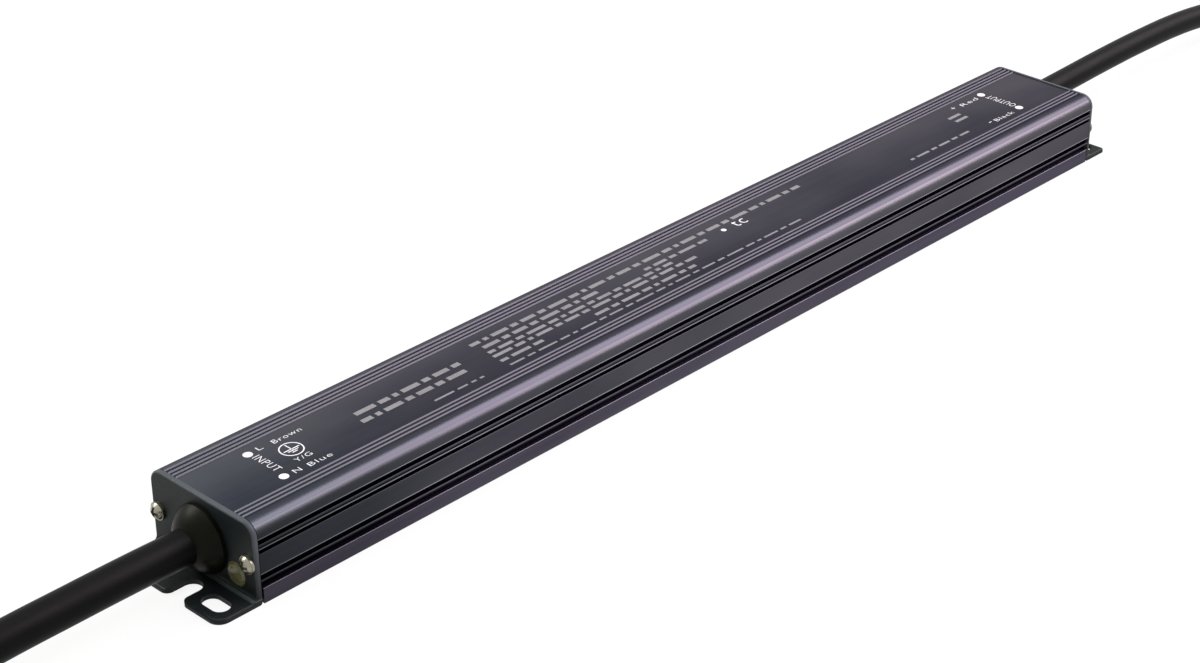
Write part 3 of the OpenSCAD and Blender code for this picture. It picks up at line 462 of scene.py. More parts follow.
# Pad-printed ink: flat white, a little thin in places.
INK_ROUGH = (0.55, 0.7)
INK_GRAINS = (Grain.even(0.5, 0.5), Grain.even(6.0, 0.5))
PRINT_INK = Finish(
    "pad_printed_white_ink", ("#c3c3c7", "#dddde0"), INK_ROUGH, INK_GRAINS, relief_mm=0.004)
# The same ink laid thin, for the plain bars: the dye under it greys it.
THIN_INK = Finish(
    "pad_printed_thin_ink", ("#66666a", "#7c7c80"), INK_ROUGH, INK_GRAINS, relief_mm=0.004)
# Core insulation: coloured PVC with a soft shine and slight lines along the core.
PVC_LINES = (Grain((12.0, 0.6, 0.6), 0.6), Grain((4.0, 2.0, 2.0), 0.4))
PVC_ROUGH, PVC_RELIEF = (0.34, 0.46), 0.012
CORE_BROWN = Finish(
    "brown_pvc_insulation", ("#4a2a17", "#5c361f"), PVC_ROUGH, PVC_LINES, PVC_RELIEF)
CORE_BLUE = Finish(
    "blue_pvc_insulation", ("#1d4c9a", "#275db2"), PVC_ROUGH, PVC_LINES, PVC_RELIEF)
CORE_RED = Finish(
    "red_pvc_insulation", ("#9c1a18", "#b32520"), PVC_ROUGH, PVC_LINES, PVC_RELIEF)
CORE_BLACK = Finish(
    "black_pvc_insulation", ("#121213", "#1e1e20"), PVC_ROUGH, PVC_LINES, PVC_RELIEF)
CORE_EARTH = StripedInsulation(
    "green_yellow_pvc_insulation", ("#1e7a2f", "#288f3a"), PVC_ROUGH, PVC_LINES, PVC_RELIEF)
# Tinned copper strands: pale grey solder that fills the lay of the strands.
TINNED_COPPER = Finish(
    "tinned_copper_strands", ("#a8a9a6", "#d0d0cb"), (0.24, 0.42),
    (Grain((1.2, 0.3, 0.3), 0.6), Grain((3.0, 1.0, 1.0), 0.4)), relief_mm=0.015, metallic=1.0)
# Glass-filled epoxy of the board: green, with a satin face and a trace of the weave.
BOARD_LAMINATE = Finish(
    "glass_epoxy_laminate", ("#1f5a34", "#2a6d41"), (0.34, 0.5),
    (Grain.even(0.6, 0.6), Grain.even(12.0, 0.4)), relief_mm=0.01)
# Polyester film: pale and a little glossy, in slow waves.
LINER_FILM = Finish(
    "polyester_insulating_film", ("#c9c6ba", "#dedbd0"), (0.25, 0.4),
    (Grain.even(18.0),), relief_mm=0.02)
# Fired ceramic of the fuse: off-white and smooth.
FUSE_CERAMIC = Finish(
    "fired_fuse_ceramic", ("#cfcabc", "#e2ded2"), (0.35, 0.5),
    (Grain.even(0.7),), relief_mm=0.01)
# Epoxy that a disc was dipped in: blue, glossy and a little lumpy.
DIPPED_EPOXY = Finish(
    "blue_dipped_epoxy", ("#1c4a8c", "#2a61a8"), (0.25, 0.4),
    (Grain.even(1.6),), relief_mm=0.03)
# Moulded case of the film capacitor: yellow, with a dull shine.
YELLOW_CASE = Finish(
    "yellow_moulded_case", ("#c79d1f", "#dcb638"), (0.4, 0.55),
    (Grain.even(0.9),), relief_mm=0.012)
# Pressed ferrite: dark grey, dull and granular.
FERRITE = Finish(
    "pressed_ferrite", ("#2b2a2a", "#3c3a39"), (0.5, 0.7),
    (Grain.even(0.6, 0.6), Grain.even(5.0, 0.4)), relief_mm=0.02)
# Enamelled copper wire: a warm red metal in fine turns.
COPPER_WIRE = Finish(
    "enamelled_copper_wire", ("#7c3f1c", "#a9602c"), (0.22, 0.36),
    (Grain((0.5, 3.0, 3.0), 0.8), Grain.even(4.0, 0.2)), relief_mm=0.08, metallic=1.0)
# Moulded epoxy of the chips and formers: dull black.
MOULDING_BLACK = Finish(
    "black_moulded_epoxy", ("#161617", "#232325"), (0.5, 0.65),
    (Grain.even(0.5),), relief_mm=0.012)
# Moulded nylon: white, with a dull shine.
MOULDING_WHITE = Finish(
    "white_moulded_nylon", ("#d0cfc8", "#e3e2dc"), (0.45, 0.6),
    (Grain.even(0.8),), relief_mm=0.01)
# Sleeve shrunk onto the capacitors by heat: dark and glossy.
CAPACITOR_SLEEVE = Finish(
    "heat_shrunk_sleeve", ("#14161c", "#22252e"), (0.26, 0.4),
    (Grain((5.0, 2.0, 2.0), 1.0),), relief_mm=0.02)
# Silicone filled with ceramic powder: soft, dull grey.
THERMAL_SILICONE = Finish(
    "filled_silicone_pad", ("#8d8f95", "#a3a5aa"), (0.6, 0.75),
    (Grain.even(0.5),), relief_mm=0.01)
# Polyester tape round a winding: yellow and glossy, in slight waves.
WINDING_TAPE = Finish(
    "yellow_polyester_tape", ("#caa52a", "#dfbf4a"), (0.25, 0.4),
    (Grain((6.0, 2.0, 6.0), 1.0),), relief_mm=0.03)

# The record's material slots and the finish of each.
SLOT_FINISHES: dict[str, Finish] = {
    "anodised_housing": ANODISED_HOUSING, "anodised_tray": ANODISED_TRAY,
    "coated_plate": POWDER_COAT, "gasket_rubber": GASKET_RUBBER, "gland_rubber": GLAND_RUBBER,
    "nickel_screw": NICKEL_PLATE, "seal_lacquer": SEAL_LACQUER, "board_laminate": BOARD_LAMINATE,
    "liner_film": LINER_FILM, "fuse_ceramic": FUSE_CERAMIC, "blue_coating": DIPPED_EPOXY,
    "yellow_case": YELLOW_CASE, "ferrite": FERRITE, "copper_wire": COPPER_WIRE,
    "moulding_black": MOULDING_BLACK, "capacitor_sleeve": CAPACITOR_SLEEVE,
    "thermal_silicone": THERMAL_SILICONE, "winding_tape": WINDING_TAPE,
    "moulding_white": MOULDING_WHITE, "cable_jacket": CABLE_JACKET, "core_brown": CORE_BROWN,
    "core_blue": CORE_BLUE, "core_green_yellow": CORE_EARTH, "core_red": CORE_RED,
    "core_black": CORE_BLACK, "tinned_copper": TINNED_COPPER}


def put_mesh(name: str, points: Array, faces: Sequence[Sequence[int]], finish: Finish,
             sharp_deg: float = SHARP_DEG, spots: Array | None = None) -> bpy.types.Object:
    """Makes one piece from points and faces, which rides on the driver's only body.

    Args:
        name: the piece's name.
        points: the vertices, n by 3.
        faces: the vertex numbers of each face, turned outwards.
        finish: what it is dressed in.
        sharp_deg: edges that turn by more than this stay sharp.
        spots: UV of each face corner, in the order of the faces.

    Returns:
        The new object.
    """
    mesh = bpy.data.meshes.new(name)
    mesh.from_pydata(points.tolist(), [], faces)
    if spots is not None:
        mesh.uv_layers.new(name="lay").data.foreach_set("uv", spots.ravel())
    mesh.shade_smooth()
    mesh.set_sharp_from_angle(angle=math.radians(sharp_deg))
    mesh.materials.append(finish.material())
    piece = bpy.data.objects.new(name, mesh)
    bpy.context.scene.collection.objects.link(piece)
    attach(piece, BODY)
    LOG.info("%s: %d faces", name, len(faces))
    return piece


def ring_piece(name: str, rings: Array, finish: Finish,
               sharp_deg: float = SHARP_DEG) -> bpy.types.Object:
    """Closes a stack of rings into a solid: quads between rings, and a fan to a pole at each end.

    Args:
        name: the piece's name.
        rings: the points, rings by points round by 3. They turn left-handed about the way along.
        finish: what it is dressed in.
        sharp_deg: edges that turn by more than this stay sharp.

    Returns:
        The new object, with a UV of the turn about it and the share along it.
    """
    count, sides = rings.shape[:2]
    points = np.vstack([rings.reshape(-1, 3), rings[0].mean(0), rings[-1].mean(0)])
    row, col = np.meshgrid(np.arange(count - 1), np.arange(sides), indexing="ij")
    step = (col + 1) % sides
    quads = np.stack([row * sides + col, (row + 1) * sides + col,
                      (row + 1) * sides + step, row * sides + step], axis=-1).reshape(-1, 4)
    around = np.arange(sides)
    beside = (around + 1) % sides
    last = (count - 1) * sides
    first_fan = np.stack([np.full(sides, count * sides), around, beside], axis=-1)
    last_fan = np.stack([np.full(sides, count * sides + 1), last + beside, last + around], axis=-1)
    left, right = col / sides, (col + 1) / sides
    low, high = row / (count - 1), (row + 1) / (count - 1)
    quad_uv = np.stack([left, low, left, high, right, high, right, low], axis=-1).reshape(-1, 2)
    turn = around / sides
    next_turn = (around + 1) / sides
    none, full = np.zeros(sides), np.ones(sides)
    first_uv = np.stack([turn, none, turn, none, next_turn, none], axis=-1).reshape(-1, 2)
    last_uv = np.stack([turn, full, next_turn, full, turn, full], axis=-1).reshape(-1, 2)
    faces = [*quads.tolist(), *first_fan.tolist(), *last_fan.tolist()]
    return put_mesh(name, points, faces, finish, sharp_deg, np.vstack([quad_uv, first_uv, last_uv]))


def smooth_path(knots: Array, steps: int) -> Array:
    """Carries a smooth curve through knots, as a Catmull-Rom spline.

    Each span is the cubic whose slope at a knot is half the way from the knot before it to the
    knot after it. The end knots are repeated by reflection.

    Args:
        knots: the points, n by 3.
        steps: points for each span.

    Returns:
        The curve's points, with the last knot at their end.
    """
    line = np.vstack([2 * knots[0] - knots[1], knots, 2 * knots[-1] - knots[-2]])
    before, start, end, after = line[:-3, None], line[1:-2, None], line[2:-1, None], line[3:, None]
    t = np.linspace(0, 1, steps, endpoint=False)[None, :, None]
    curve = (2 * start + (end - before) * t + (2 * before - 5 * start + 4 * end - after) * t ** 2
             + (3 * start - before - 3 * end + after) * t ** 3) / 2
    return np.vstack([curve.reshape(-1, 3), knots[-1]])


def tube_rings(path: Array, radii: Array, sides: int) -> Array:
    """Sets a ring square to the path at each of its points.

    A ring's point is the path's point plus the radius times (side cos u + up sin u), where side is
    level and square to the path, and up is square to both.

    Args:
        path: centre line, n by 3, that nowhere runs straight up.
        radii: the radius at each point, n by 1 or n by sides.
        sides: points round a ring.

    Returns:
        The rings, n by sides by 3.
    """
    along = np.gradient(path, axis=0)
    along /= np.linalg.norm(along, axis=1, keepdims=True)
    side = np.cross(along, (0.0, 0.0, 1.0))
    side /= np.linalg.norm(side, axis=1, keepdims=True)
    up = np.cross(side, along)
    turn = np.linspace(0, 2 * np.pi, sides, endpoint=False)[None, :, None]
    spokes = side[:, None] * np.cos(turn) + up[:, None] * np.sin(turn)
    return path[:, None] + radii[..., None] * spokes


class End(Enum):
    """The two ends of the driver, each with the way that points out of it along X."""

    INPUT = -1
    OUTPUT = 1


@dataclass(frozen=True)
class Core:
    """One core of a lead: its place in the jacket and where its stripped tail goes, in mm."""

    name: str
    spot: tuple[float, float]
    spread: float
    slot: str


@dataclass
class Lead:
    """A jacketed lead with a bare, stripped end: its jacket, core tails and tinned tips, in mm.

    The route's points are the way out from the end plate, the way sideways and the height.
    """

    end: End
    route: tuple[Point, ...]
    side: float
    jacket_d: float
    cores: tuple[Core, ...]
    core_d: float = 2.4
    table_gap: float = 0.1
    strand_d: float = 1.3
    strand_l: float = 7.0
    cut_r: float = 0.25
    lobes: int = 6
    lay: float = 9.0
    # shares of a tip: the depth between its strands, the length of its rounded end, and where the
    # end's first and last rings lie, as an angle and as a share of the way to its point
    lobe_depth: float = 0.12
    round_share: float = 0.1
    round_start: float = 0.2
    round_stop: float = 0.985
    # points round the jacket, the cores and the tips, and rings along each part of them
    jacket_sides: int = 40
    core_sides: int = 20
    tip_sides: int = 36
    jacket_rings: int = 8
    core_rings: int = 6
    cut_rings: int = 4
    tip_rings: int = 28
    round_rings: int = 6
    # how far past the jacket, and the shares of the spread and of the fall to the table
    tail_steps: tuple[Point, ...] = (
        (0, 0, 0), (4, 0, 0), (9, 0.15, 0.25), (14, 0.45, 0.6),
        (19, 0.75, 0.85), (24, 0.95, 0.98), (29, 1, 1), (34, 1, 1))

    def jacket_path(self) -> Array:
        """Gives the jacket's centre line: the route turned to this end of the case, smoothed."""
        way = np.array(self.route, dtype=float)
        knots = np.column_stack([
            self.end.value * (PLATE_X + way[:, 0]), self.side + way[:, 1], way[:, 2]])
        return smooth_path(knots * MM, self.jacket_rings)

    def tail_path(self, core: Core) -> Array:
        """Gives a stripped core's centre line, from the jacket's cut end down to the table.

        Args:
            core: the core.

        Returns:
            The smoothed centre line.
        """
        step = np.array(self.tail_steps, dtype=float)
        start = self.jacket_path()[-1] / MM + np.array([0.0, *core.spot])
        floor = self.core_d / 2 + self.table_gap
        knots = np.column_stack([
            start[0] + self.end.value * step[:, 0], start[1] + core.spread * step[:, 1],
            start[2] + (floor - start[2]) * step[:, 2]])
        return smooth_path(knots * MM, self.core_rings)

    def cut_tube(self, name: str, path: Array, diameter: float, sides: int,
                 finish: Finish) -> bpy.types.Object:
        """Makes a tube whose cut ends are rounded by a small radius.

        At each end the radius drops from its full size by the cut's radius times (1 - cos v), as v
        goes through a quarter turn.

        Args:
            name: the piece's name.
            path: centre line.
            diameter: outer diameter in mm.
            sides: points round the tube.
            finish: what it is dressed in.

        Returns:
            The new piece.
        """
        bend = np.linspace(np.pi / 2, 0, self.cut_rings)
        drop = self.cut_r * (1 - np.cos(bend))
        inset = self.cut_r * (1 - np.sin(bend)) * MM
        first = path[0] + inset[:, None] * self.unit_way(path[0], path[1])
        last = path[-1] + inset[::-1, None] * self.unit_way(path[-1], path[-2])
        middle = path[1:-1]
        radii = np.concatenate([diameter / 2 - drop, np.full(len(middle), diameter / 2),
                                (diameter / 2 - drop)[::-1]]) * MM
        rings = tube_rings(np.vstack([first, middle, last]), radii[:, None], sides)
        return ring_piece(name, rings, finish)

    @staticmethod
    def unit_way(start: Array, end: Array) -> Array:
        """Gives the unit vector from one point to another."""
        return (end - start) / np.linalg.norm(end - start)

    def tip(self, core: Core, start: Array) -> bpy.types.Object:
        """Makes a tinned tip: strands twisted about a straight line, solder-filled.

        The radius is its full size times (1 - depth + depth |cos of half the lobes times
        (u - twist)|), where the twist grows along the tip, and the end is rounded off as a quarter
        ellipse.

        Args:
            core: the core that it ends.
            start: where the insulation ends.

        Returns:
            The new piece.
        """
        straight = 1 - self.round_share
        angle = np.linspace(self.round_start, np.pi / 2, self.round_rings)
        share = np.concatenate([
            np.linspace(0, straight, self.tip_rings), straight + self.round_share * np.sin(angle)])
        path = start + np.outer(share * self.strand_l * self.end.value * MM, (1.0, 0.0, 0.0))
        turn = np.linspace(0, 2 * np.pi, self.tip_sides, endpoint=False)
        twist = 2 * np.pi * share * self.strand_l / self.lay
        wave = np.abs(np.cos(self.lobes / 2 * (turn[None] - twist[:, None])))
        lobed = 1 - self.lobe_depth + self.lobe_depth * wave
        rounded = np.clip((share - straight) / self.round_share, 0, self.round_stop)
        radii = self.strand_d / 2 * lobed * np.sqrt(1 - rounded ** 2)[:, None] * MM
        tip = ring_piece(
            f"{self.name}_{core.name}_tip", tube_rings(path, radii, self.tip_sides), TINNED_COPPER)
        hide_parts("tinned_ends")
        return tip

    @property
    def name(self) -> str:
        """Gives the lead's name: input or output."""
        return self.end.name.lower()

    def build(self) -> None:
        """Makes the jacket, the tails and the tips, in the places of their CAD solids."""
        path = self.jacket_path()
        jacket = self.cut_tube(
            f"{self.name}_lead_jacket", path, self.jacket_d, self.jacket_sides, CABLE_JACKET)
        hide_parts(f"{self.name}_cable")
        for core in self.cores:
            line = self.tail_path(core)
            tail = self.cut_tube(f"{self.name}_{core.name}_core", line, self.core_d,
                                 self.core_sides, SLOT_FINISHES[core.slot])
            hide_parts(f"{self.name}_{core.name}_tail")
            self.tip(core, line[-1])


INPUT_LEAD = Lead(
    End.INPUT,
    ((-6, 0, 9.6), (0, 0, 9.6), (8, 0, 9.6), (16, 0, 9.7), (26, 0, 9.7), (36, 0, 9.6), (46, 0, 9.5),
     (56, 0, 9.2), (68, 0, 8.6), (80, 0.3, 7.7), (92, 0.9, 6.6), (104, 1.7, 5.3), (116, 2.6, 4.7),
     (128, 3.4, 4.4), (140, 3.8, 4.3), (150, 4, 4.3), (156, 4, 4.3)),
    side=0.0, jacket_d=8.4,
    cores=(Core("live", (1.9, 1.1), 8.0, "core_brown"),
           Core("neutral", (-1.9, 1.1), -7.0, "core_blue"),
           Core("earth", (0.0, -2.2), 1.0, "core_green_yellow")))
OUTPUT_LEAD = Lead(
    End.OUTPUT,
    ((-6, 0, 10.7), (0, 0, 10.7), (8, 0, 10.7), (16, 0, 10.9), (26, 0, 11.2), (36, 0, 11.5),
     (46, 0, 11.7), (56, 0, 11.8), (66, 0, 11.7), (76, 0, 11.5), (88, -0.2, 10.9), (100, -0.6, 9.7),
     (112, -1.2, 7.9), (124, -2, 6.05), (136, -2.7, 4.45), (146, -3, 3.75), (154, -3, 3.65),
     (160, -3, 3.65)),
    side=6.7, jacket_d=7.1,
    cores=(Core("positive", (1.7, 0.0), 6.0, "core_red"),
           Core("negative", (-1.7, 0.0), -6.0, "core_black")))


@dataclass
class SealDrop:
    """The round drop of lacquer on the input plate, with a raised ring near its edge, in mm."""

    centre: Point = (-PLATE_X, -10.75, 5.3)
    diameter: float = 6.0
    crown: float = 0.5
    crown_power: float = 0.6
    ring_share: float = 0.78
    ring_spread: float = 0.07
    ring_rise: float = 0.12
    rings: int = 25
    sides: int = 48
    sharp_deg: float = 60.0

    def build(self) -> bpy.types.Object:
        """Makes the drop as a shape turned about X.

        Its height is the crown times (1 - s squared) to the crown's power, where s is the share of
        the radius, plus a narrow bell at the ring's share.

        Returns:
            The new piece.
        """
        share = np.cos(np.linspace(0, np.pi / 2, self.rings, endpoint=False))
        height = (self.crown * (1 - share ** 2) ** self.crown_power
                  + self.ring_rise * np.exp(-((share - self.ring_share) / self.ring_spread) ** 2))
        turn = np.linspace(0, 2 * np.pi, self.sides, endpoint=False)[None]
        radius = share[:, None] * self.diameter / 2
        x, y, z = self.centre
        rings = np.stack([np.broadcast_to(x - height[:, None], (self.rings, self.sides)),
                          y + radius * np.cos(turn), z + radius * np.sin(turn)], axis=-1) * MM
        drop = ring_piece("seal_drop", rings, SEAL_LACQUER, self.sharp_deg)
        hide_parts("tamper_seal")
        return drop


class Heading(Enum):
    """The way that a word on the top face reads, as seen from above."""

    ALONG = (1.0, 0.0)
    TO_CAMERA = (0.0, -1.0)
    FROM_CAMERA = (0.0, 1.0)


@dataclass(frozen=True)
class Word:
    """A word of the print: its letters, the middle of its place, its width and height in mm."""

    letters: str
    middle: tuple[float, float]
    width: float
    height: float
    heading: Heading = Heading.ALONG


@dataclass
class TopPrint:
    """The white print on the top face: dots, words, the earth sign and plain bars, in mm."""

    face_z: float = 19.75
    ink_t: float = 0.03
    dots: tuple[Point, ...] = (
        (-135.9, 6.0, 1.15), (-136.2, -6.6, 1.15), (133.1, 6.8, 1.15), (133.2, -6.3, 1.15),
        (17.8, 3.1, 0.75))
    words: tuple[Word, ...] = (
        Word("INPUT", (-135.2, 0.2), 8.0, 2.1, Heading.TO_CAMERA),
        Word("OUTPUT", (133.5, 0.1), 9.4, 2.3, Heading.FROM_CAMERA),
        Word("L", (-132.4, 6.3), 1.4, 1.5), Word("N", (-132.6, -6.7), 1.9, 1.6),
        Word("Brown", (-124.9, 6.1), 8.0, 1.5), Word("Y/G", (-128.1, -3.4), 4.6, 1.5),
        Word("Blue", (-126.3, -6.9), 6.5, 1.5), Word("Red", (126.6, 6.3), 7.2, 1.5),
        Word("Black", (125.3, -6.8), 8.2, 1.5),
        Word("+", (120.0, 6.9), 1.4, 1.4), Word("-", (119.4, -6.4), 1.1, 0.26),
        Word("tc", (23.9, 3.2), 4.4, 2.8))
    # start, end and middle height of each bar's line, and how thick the bar is
    bars: tuple[tuple[float, float, float, float], ...] = (
        (-69.0, 51.1, 6.0, 1.3), (-67.4, -27.7, 3.2, 1.3), (-12.4, 11.0, 2.7, 1.1),
        (-68.3, -4.7, 0.5, 1.1), (-68.8, 1.8, -1.7, 1.1), (-69.0, -54.9, -4.4, 1.1),
        (-37.6, -1.7, -4.7, 1.1), (-68.7, 37.2, -7.2, 0.6),
        (-108.5, -75.9, 1.9, 1.5), (-109.5, -77.6, -1.6, 1.5), (-92.0, -76.6, -6.6, 0.6),
        (84.4, 110.3, -5.7, 0.8), (113.0, 118.6, 3.2, 1.1), (113.0, 119.0, 0.7, 1.1))
    bar_lengths: tuple[float, ...] = (4.6, 2.4, 6.0, 3.1, 1.5, 5.2, 2.2)
    bar_gap: float = 1.2
    most_bars: int = 60
    # places in the rhythm of lengths that a line starts further on, for each mm from the middle
    bar_shift: int = 3
    earth: Point = (-127.8, 0.9, 2.9)
    # shares of the earth sign's radius: the stem's middle and length, the step from bar to bar of
    # its three, the longest bar and how much shorter each next one is
    earth_stem: tuple[float, float] = (0.35, 0.9)
    earth_bars: tuple[float, float, float] = (0.22, 1.5, 0.5)
    line_w: float = 0.3
    sides: int = 48
    # how far the letters' outlines are drawn in, as a share of their size, and how many times their
    # usual space they stand apart
    thinning: float = -0.01
    tracking: float = 1.12
    # points for each stretch of a letter's curved outline
    letter_steps: int = 3

    def build(self) -> None:
        """Makes the dots, bars, earth sign and words."""
        for number, (x, y, radius) in enumerate(self.dots):
            self.band(f"print_dot_{number}", (x, y), 0.0, radius)
        x, y, radius = self.earth
        self.band("print_earth_ring", (x, y), radius - self.line_w, radius)
        middle, length = self.earth_stem
        step, longest, less = self.earth_bars
        strokes = [(x, y + middle * radius, self.line_w, length * radius)]
        strokes += [(x, y - step * k * radius, (longest - less * k) * radius, self.line_w)
                    for k in range(3)]
        self.slabs("print_earth_sign", np.array(strokes))
        for number, line in enumerate(self.bars):
            self.slabs(f"print_line_{number}", self.broken_line(*line), THIN_INK)
        for number, word in enumerate(self.words):
            self.word(f"print_word_{number}", word)

    def broken_line(self, start: float, end: float, y: float, thick: float) -> Array:
        """Breaks a line into bars, whose lengths follow a rhythm that starts elsewhere each time.

        Args:
            start: lowest X.
            end: highest X.
            y: middle of the line.
            thick: how tall its bars are.

        Returns:
            Middle X, middle Y, length and thickness of each bar.
        """
        lengths = np.resize(np.roll(self.bar_lengths, int(abs(y) * self.bar_shift)), self.most_bars)
        right = start + np.cumsum(lengths + self.bar_gap) - self.bar_gap
        left = right - lengths
        keep = left < end - self.bar_gap
        right = np.minimum(right[keep], end)
        left = left[keep]
        return np.column_stack([(left + right) / 2, np.full(len(left), y), right - left,
                                np.full(len(left), thick)])

    def slabs(self, name: str, boxes: Array, finish: Finish = PRINT_INK) -> bpy.types.Object:
        """Makes flat bars of ink, each a closed box on the face.

        Args:
            name: the piece's name.
            boxes: middle X, middle Y, length and width of each.
            finish: the ink.

        Returns:
            The new piece.
        """
        corner = ((-1, -1), (1, -1), (1, 1), (-1, 1))
        unit = np.array([[sx, sy, sz] for sz in (0, 1) for sx, sy in corner])
        size = np.column_stack([boxes[:, 2] / 2, boxes[:, 3] / 2, np.full(len(boxes), self.ink_t)])
        middle = np.column_stack([boxes[:, :2], np.full(len(boxes), self.face_z)])
        points = (middle[:, None] + unit[None] * size[:, None]).reshape(-1, 3) * MM
        sides = np.array([
            [3, 2, 1, 0], [4, 5, 6, 7], [0, 1, 5, 4], [1, 2, 6, 5], [2, 3, 7, 6], [3, 0, 4, 7]])
        faces = (sides[None] + len(unit) * np.arange(len(boxes))[:, None, None]).reshape(-1, 4)
        return put_mesh(name, points, faces.tolist(), finish)

    def band(self, name: str, middle: tuple[float, float], inner: float,
             outer: float) -> bpy.types.Object:
        """Makes a disc, or a flat ring where the inner radius isn't 0.

        A rectangle of the ring's width and the ink's thickness is carried round the middle. A disc
        is the stack of its lower and upper edge, closed by a pole at each.

        Args:
            name: the piece's name.
            middle: X and Y of its middle.
            inner: inner radius.
            outer: outer radius.

        Returns:
            The new piece.
        """
        count = self.sides
        turn = np.linspace(0, 2 * np.pi, count, endpoint=False)
        wheel = np.column_stack([np.cos(turn), np.sin(turn)])
        low, high = self.face_z, self.face_z + self.ink_t
        if inner <= 0:
            rings = np.stack([np.column_stack([wheel[::-1] * outer + middle, np.full(count, z)])
                              for z in (low, high)])
            return ring_piece(name, rings * MM, PRINT_INK)
        section = ((outer, low), (outer, high), (inner, high), (inner, low))
        points = np.concatenate([
            np.column_stack([wheel * r + middle, np.full(count, z)]) for r, z in section])
        row, col = np.meshgrid(np.arange(len(section)), np.arange(count), indexing="ij")
        far, step = (row + 1) % len(section), (col + 1) % count
        faces = np.stack([
            row * count + col, row * count + step, far * count + step, far * count + col], axis=-1)
        return put_mesh(name, points * MM, faces.reshape(-1, 4).tolist(), PRINT_INK)

    def word(self, name: str, word: Word) -> bpy.types.Object:
        """Makes a word from Blender's own letters, fitted to its width and height.

        The letters' mesh, given any thickness at first, is scaled to its place and to the ink's
        thickness, turned to its heading and set on the face.

        Args:
            name: the piece's name.
            word: the word and its place.

        Returns:
            The new piece.
        """
        curve = bpy.data.curves.new(name, "FONT")
        curve.body = word.letters
        curve.extrude = 0.5
        curve.offset = self.thinning
        curve.space_character = self.tracking
        curve.resolution_u = self.letter_steps
        holder = bpy.data.objects.new(name + "_letters", curve)
        bpy.context.scene.collection.objects.link(holder)
        mesh = bpy.data.meshes.new_from_object(
            holder.evaluated_get(bpy.context.evaluated_depsgraph_get()))
        flat = np.empty(len(mesh.vertices) * 3)
        mesh.vertices.foreach_get("co", flat)
        letters = flat.reshape(-1, 3)
        faces = [tuple(face.vertices) for face in mesh.polygons]
        bpy.data.objects.remove(holder)
        bpy.data.meshes.remove(mesh)
        bpy.data.curves.remove(curve)
        low, high = letters.min(0), letters.max(0)
        share = (letters - low) / (high - low) - (0.5, 0.5, 0.0)
        ahead = np.array(word.heading.value)
        upward = np.array((-ahead[1], ahead[0]))
        spot = (np.array(word.middle) + np.outer(share[:, 0] * word.width, ahead)
                + np.outer(share[:, 1] * word.height, upward))
        points = np.column_stack([spot, self.face_z + share[:, 2] * self.ink_t])
        return put_mesh(name, points * MM, faces, PRINT_INK)


@dataclass
class Casework:
    """The CAD solids that stay: the case, its ends and everything inside it, dressed by slot."""

    frame: Mapping[str, Any]

    def dress(self) -> None:
        """Puts each node's finish into its material slots."""
        for part in self.frame["record"]["subparts"]:
            name, slot = part["node"], part["material_slot"]
            piece = self.frame["nodes"][name]
            piece.data.materials.clear()
            piece.data.materials.append(SLOT_FINISHES[slot].material())
            LOG.info("%s: %s", name, SLOT_FINISHES[slot].name)


@dataclass(frozen=True)
class Lamp:
    """A soft box: where it stands and aims, its two sizes in metres, its power and its tint."""

    name: str
    place: Point
    aim: Point
    size: tuple[float, float]
    power: float
    tint: str = WHITE

    def build(self) -> None:
        """Hangs the lamp, turned to face its aim."""
        light = bpy.data.lights.new(self.name, "AREA")
        light.shape = "RECTANGLE"
        light.size, light.size_y = self.size
        light.energy = self.power
        light.color = linear(self.tint)[:3]
        lamp = bpy.data.objects.new(self.name, light)
        way = Vector(self.aim) - Vector(self.place)
        turn = way.to_track_quat("-Z", "Y").to_matrix().to_4x4()
        lamp.matrix_world = Matrix.Translation(self.place) @ turn
        bpy.context.scene.collection.objects.link(lamp)


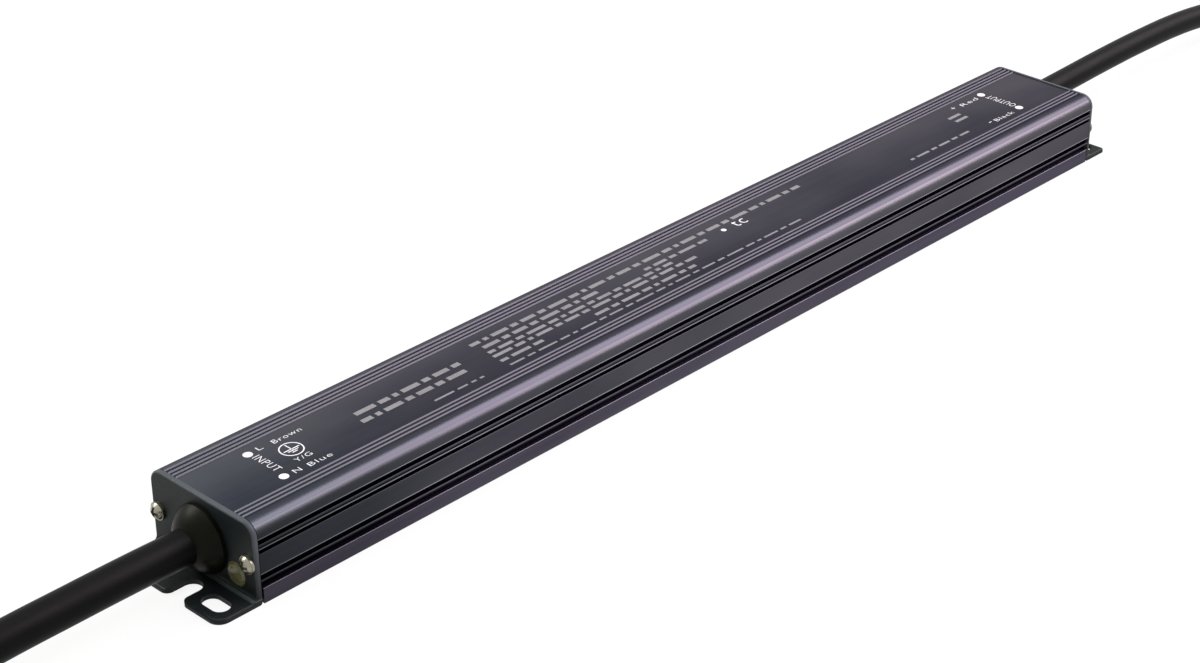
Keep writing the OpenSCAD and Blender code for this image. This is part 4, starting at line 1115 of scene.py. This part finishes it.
@dataclass
class Studio:
    """The pale floor, the soft lamps, the white surround and the camera."""

    camera_place: Point = (-0.42176, -0.37592, 0.30840)
    yaw_deg: float = 46.094
    pitch_deg: float = 28.760
    roll_deg: float = -0.262
    lens_mm: float = 75.911
    sensor_mm: float = 36.0
    floor_half: float = 6.0
    floor_z: float = -0.0001
    floor_paint: str = "#f4f4f4"
    floor_white: float = 0.88
    sky: float = 0.35
    near_clip: float = 0.01
    lamps: tuple[Lamp, ...] = (
        Lamp("shoulder_softbox", (0.78, -0.46, 0.84), (0.05, 0.0, 0.01), (1.1, 1.1), 24.0,
             "#fff0f3"),
        Lamp("overhead_softbox", (-0.1, 0.1, 1.1), (0.0, 0.0, 0.0), (0.9, 0.6), 4.0),
        Lamp("input_softbox", (-0.4, 0.72, 0.6), (-0.16, 0.0, 0.01), (0.4, 0.4), 6.0, "#fbfff4"))

    def build(self) -> None:
        """Sets up the floor, world, lamps and camera."""
        self.floor()
        self.world()
        for lamp in self.lamps:
            lamp.build()
        self.camera()
        bpy.context.scene.view_settings.view_transform = "Standard"

    def seen(self, tree: Tree) -> Socket:
        """Tells the rays that show the background from those that carry light.

        Args:
            tree: node tree of the floor or the world.

        Returns:
            A socket that is 1 for camera, glossy and transmission rays.
        """
        rays = add_node(tree, "LightPath").outputs
        both = add_node(tree, "Math", {
            0: rays["Is Camera Ray"], 1: rays["Is Glossy Ray"]}, operation="MAXIMUM")
        return add_node(tree, "Math", {
            0: both.outputs[0], 1: rays["Is Transmission Ray"]}, operation="MAXIMUM").outputs[0]

    def floor(self) -> None:
        """Lays the floor: a flat white that keeps a faint shadow of the driver."""
        half = self.floor_half
        mesh = bpy.data.meshes.new("studio_floor")
        outline = ((-half, -half), (half, -half), (half, half), (-half, half))
        mesh.from_pydata([(x, y, self.floor_z) for x, y in outline], [], [(0, 1, 2, 3)])
        material = bpy.data.materials.new("studio_floor_paint")
        material.use_nodes = True
        tree = material.node_tree
        tree.nodes.clear()
        paint = add_node(tree, "BsdfDiffuse", {"Color": linear(self.floor_paint)})
        white = add_node(tree, "Emission", {"Color": linear(WHITE), "Strength": 1.0})
        share = add_node(tree, "Math", {
            0: self.seen(tree), 1: self.floor_white}, operation="MULTIPLY")
        both = add_node(tree, "MixShader", {
            0: share.outputs[0], 1: paint.outputs[0], 2: white.outputs[0]})
        add_node(tree, "OutputMaterial", {"Surface": both.outputs[0]})
        mesh.materials.append(material)
        floor = bpy.data.objects.new("studio_floor", mesh)
        bpy.context.scene.collection.objects.link(floor)

    def world(self) -> None:
        """Surrounds the scene with white to look at and a softer grey to light with."""
        world = bpy.data.worlds.new("studio_surround")
        world.use_nodes = True
        tree = world.node_tree
        tree.nodes.clear()
        fill = add_node(tree, "Background", {"Color": linear(WHITE), "Strength": self.sky})
        white = add_node(tree, "Background", {"Color": linear(WHITE), "Strength": 1.0})
        both = add_node(tree, "MixShader", {
            0: self.seen(tree), 1: fill.outputs[0], 2: white.outputs[0]})
        add_node(tree, "OutputWorld", {"Surface": both.outputs[0]})
        bpy.context.scene.world = world

    def camera(self) -> None:
        """Sets the camera at the photograph's angle, for a frame of 1200 by 663."""
        lens = bpy.data.cameras.new("photo_camera")
        lens.lens = self.lens_mm
        lens.sensor_width = self.sensor_mm
        lens.clip_start = self.near_clip
        camera = bpy.data.objects.new("photo_camera", lens)
        camera.matrix_world = (
            Matrix.Translation(self.camera_place)
            @ Matrix.Rotation(math.radians(-self.yaw_deg), 4, "Z")
            @ Matrix.Rotation(math.radians(90 - self.pitch_deg), 4, "X")
            @ Matrix.Rotation(math.radians(self.roll_deg), 4, "Z"))
        bpy.context.scene.collection.objects.link(camera)
        bpy.context.scene.camera = camera


def main() -> None:
    """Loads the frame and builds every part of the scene."""
    logging.basicConfig(level=logging.INFO, format="%(name)s %(message)s")
    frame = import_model()
    Studio().build()
    INPUT_LEAD.build()
    OUTPUT_LEAD.build()
    Casework(frame).dress()
    SealDrop().build()
    TopPrint().build()


if __name__ == "__main__":
    main()
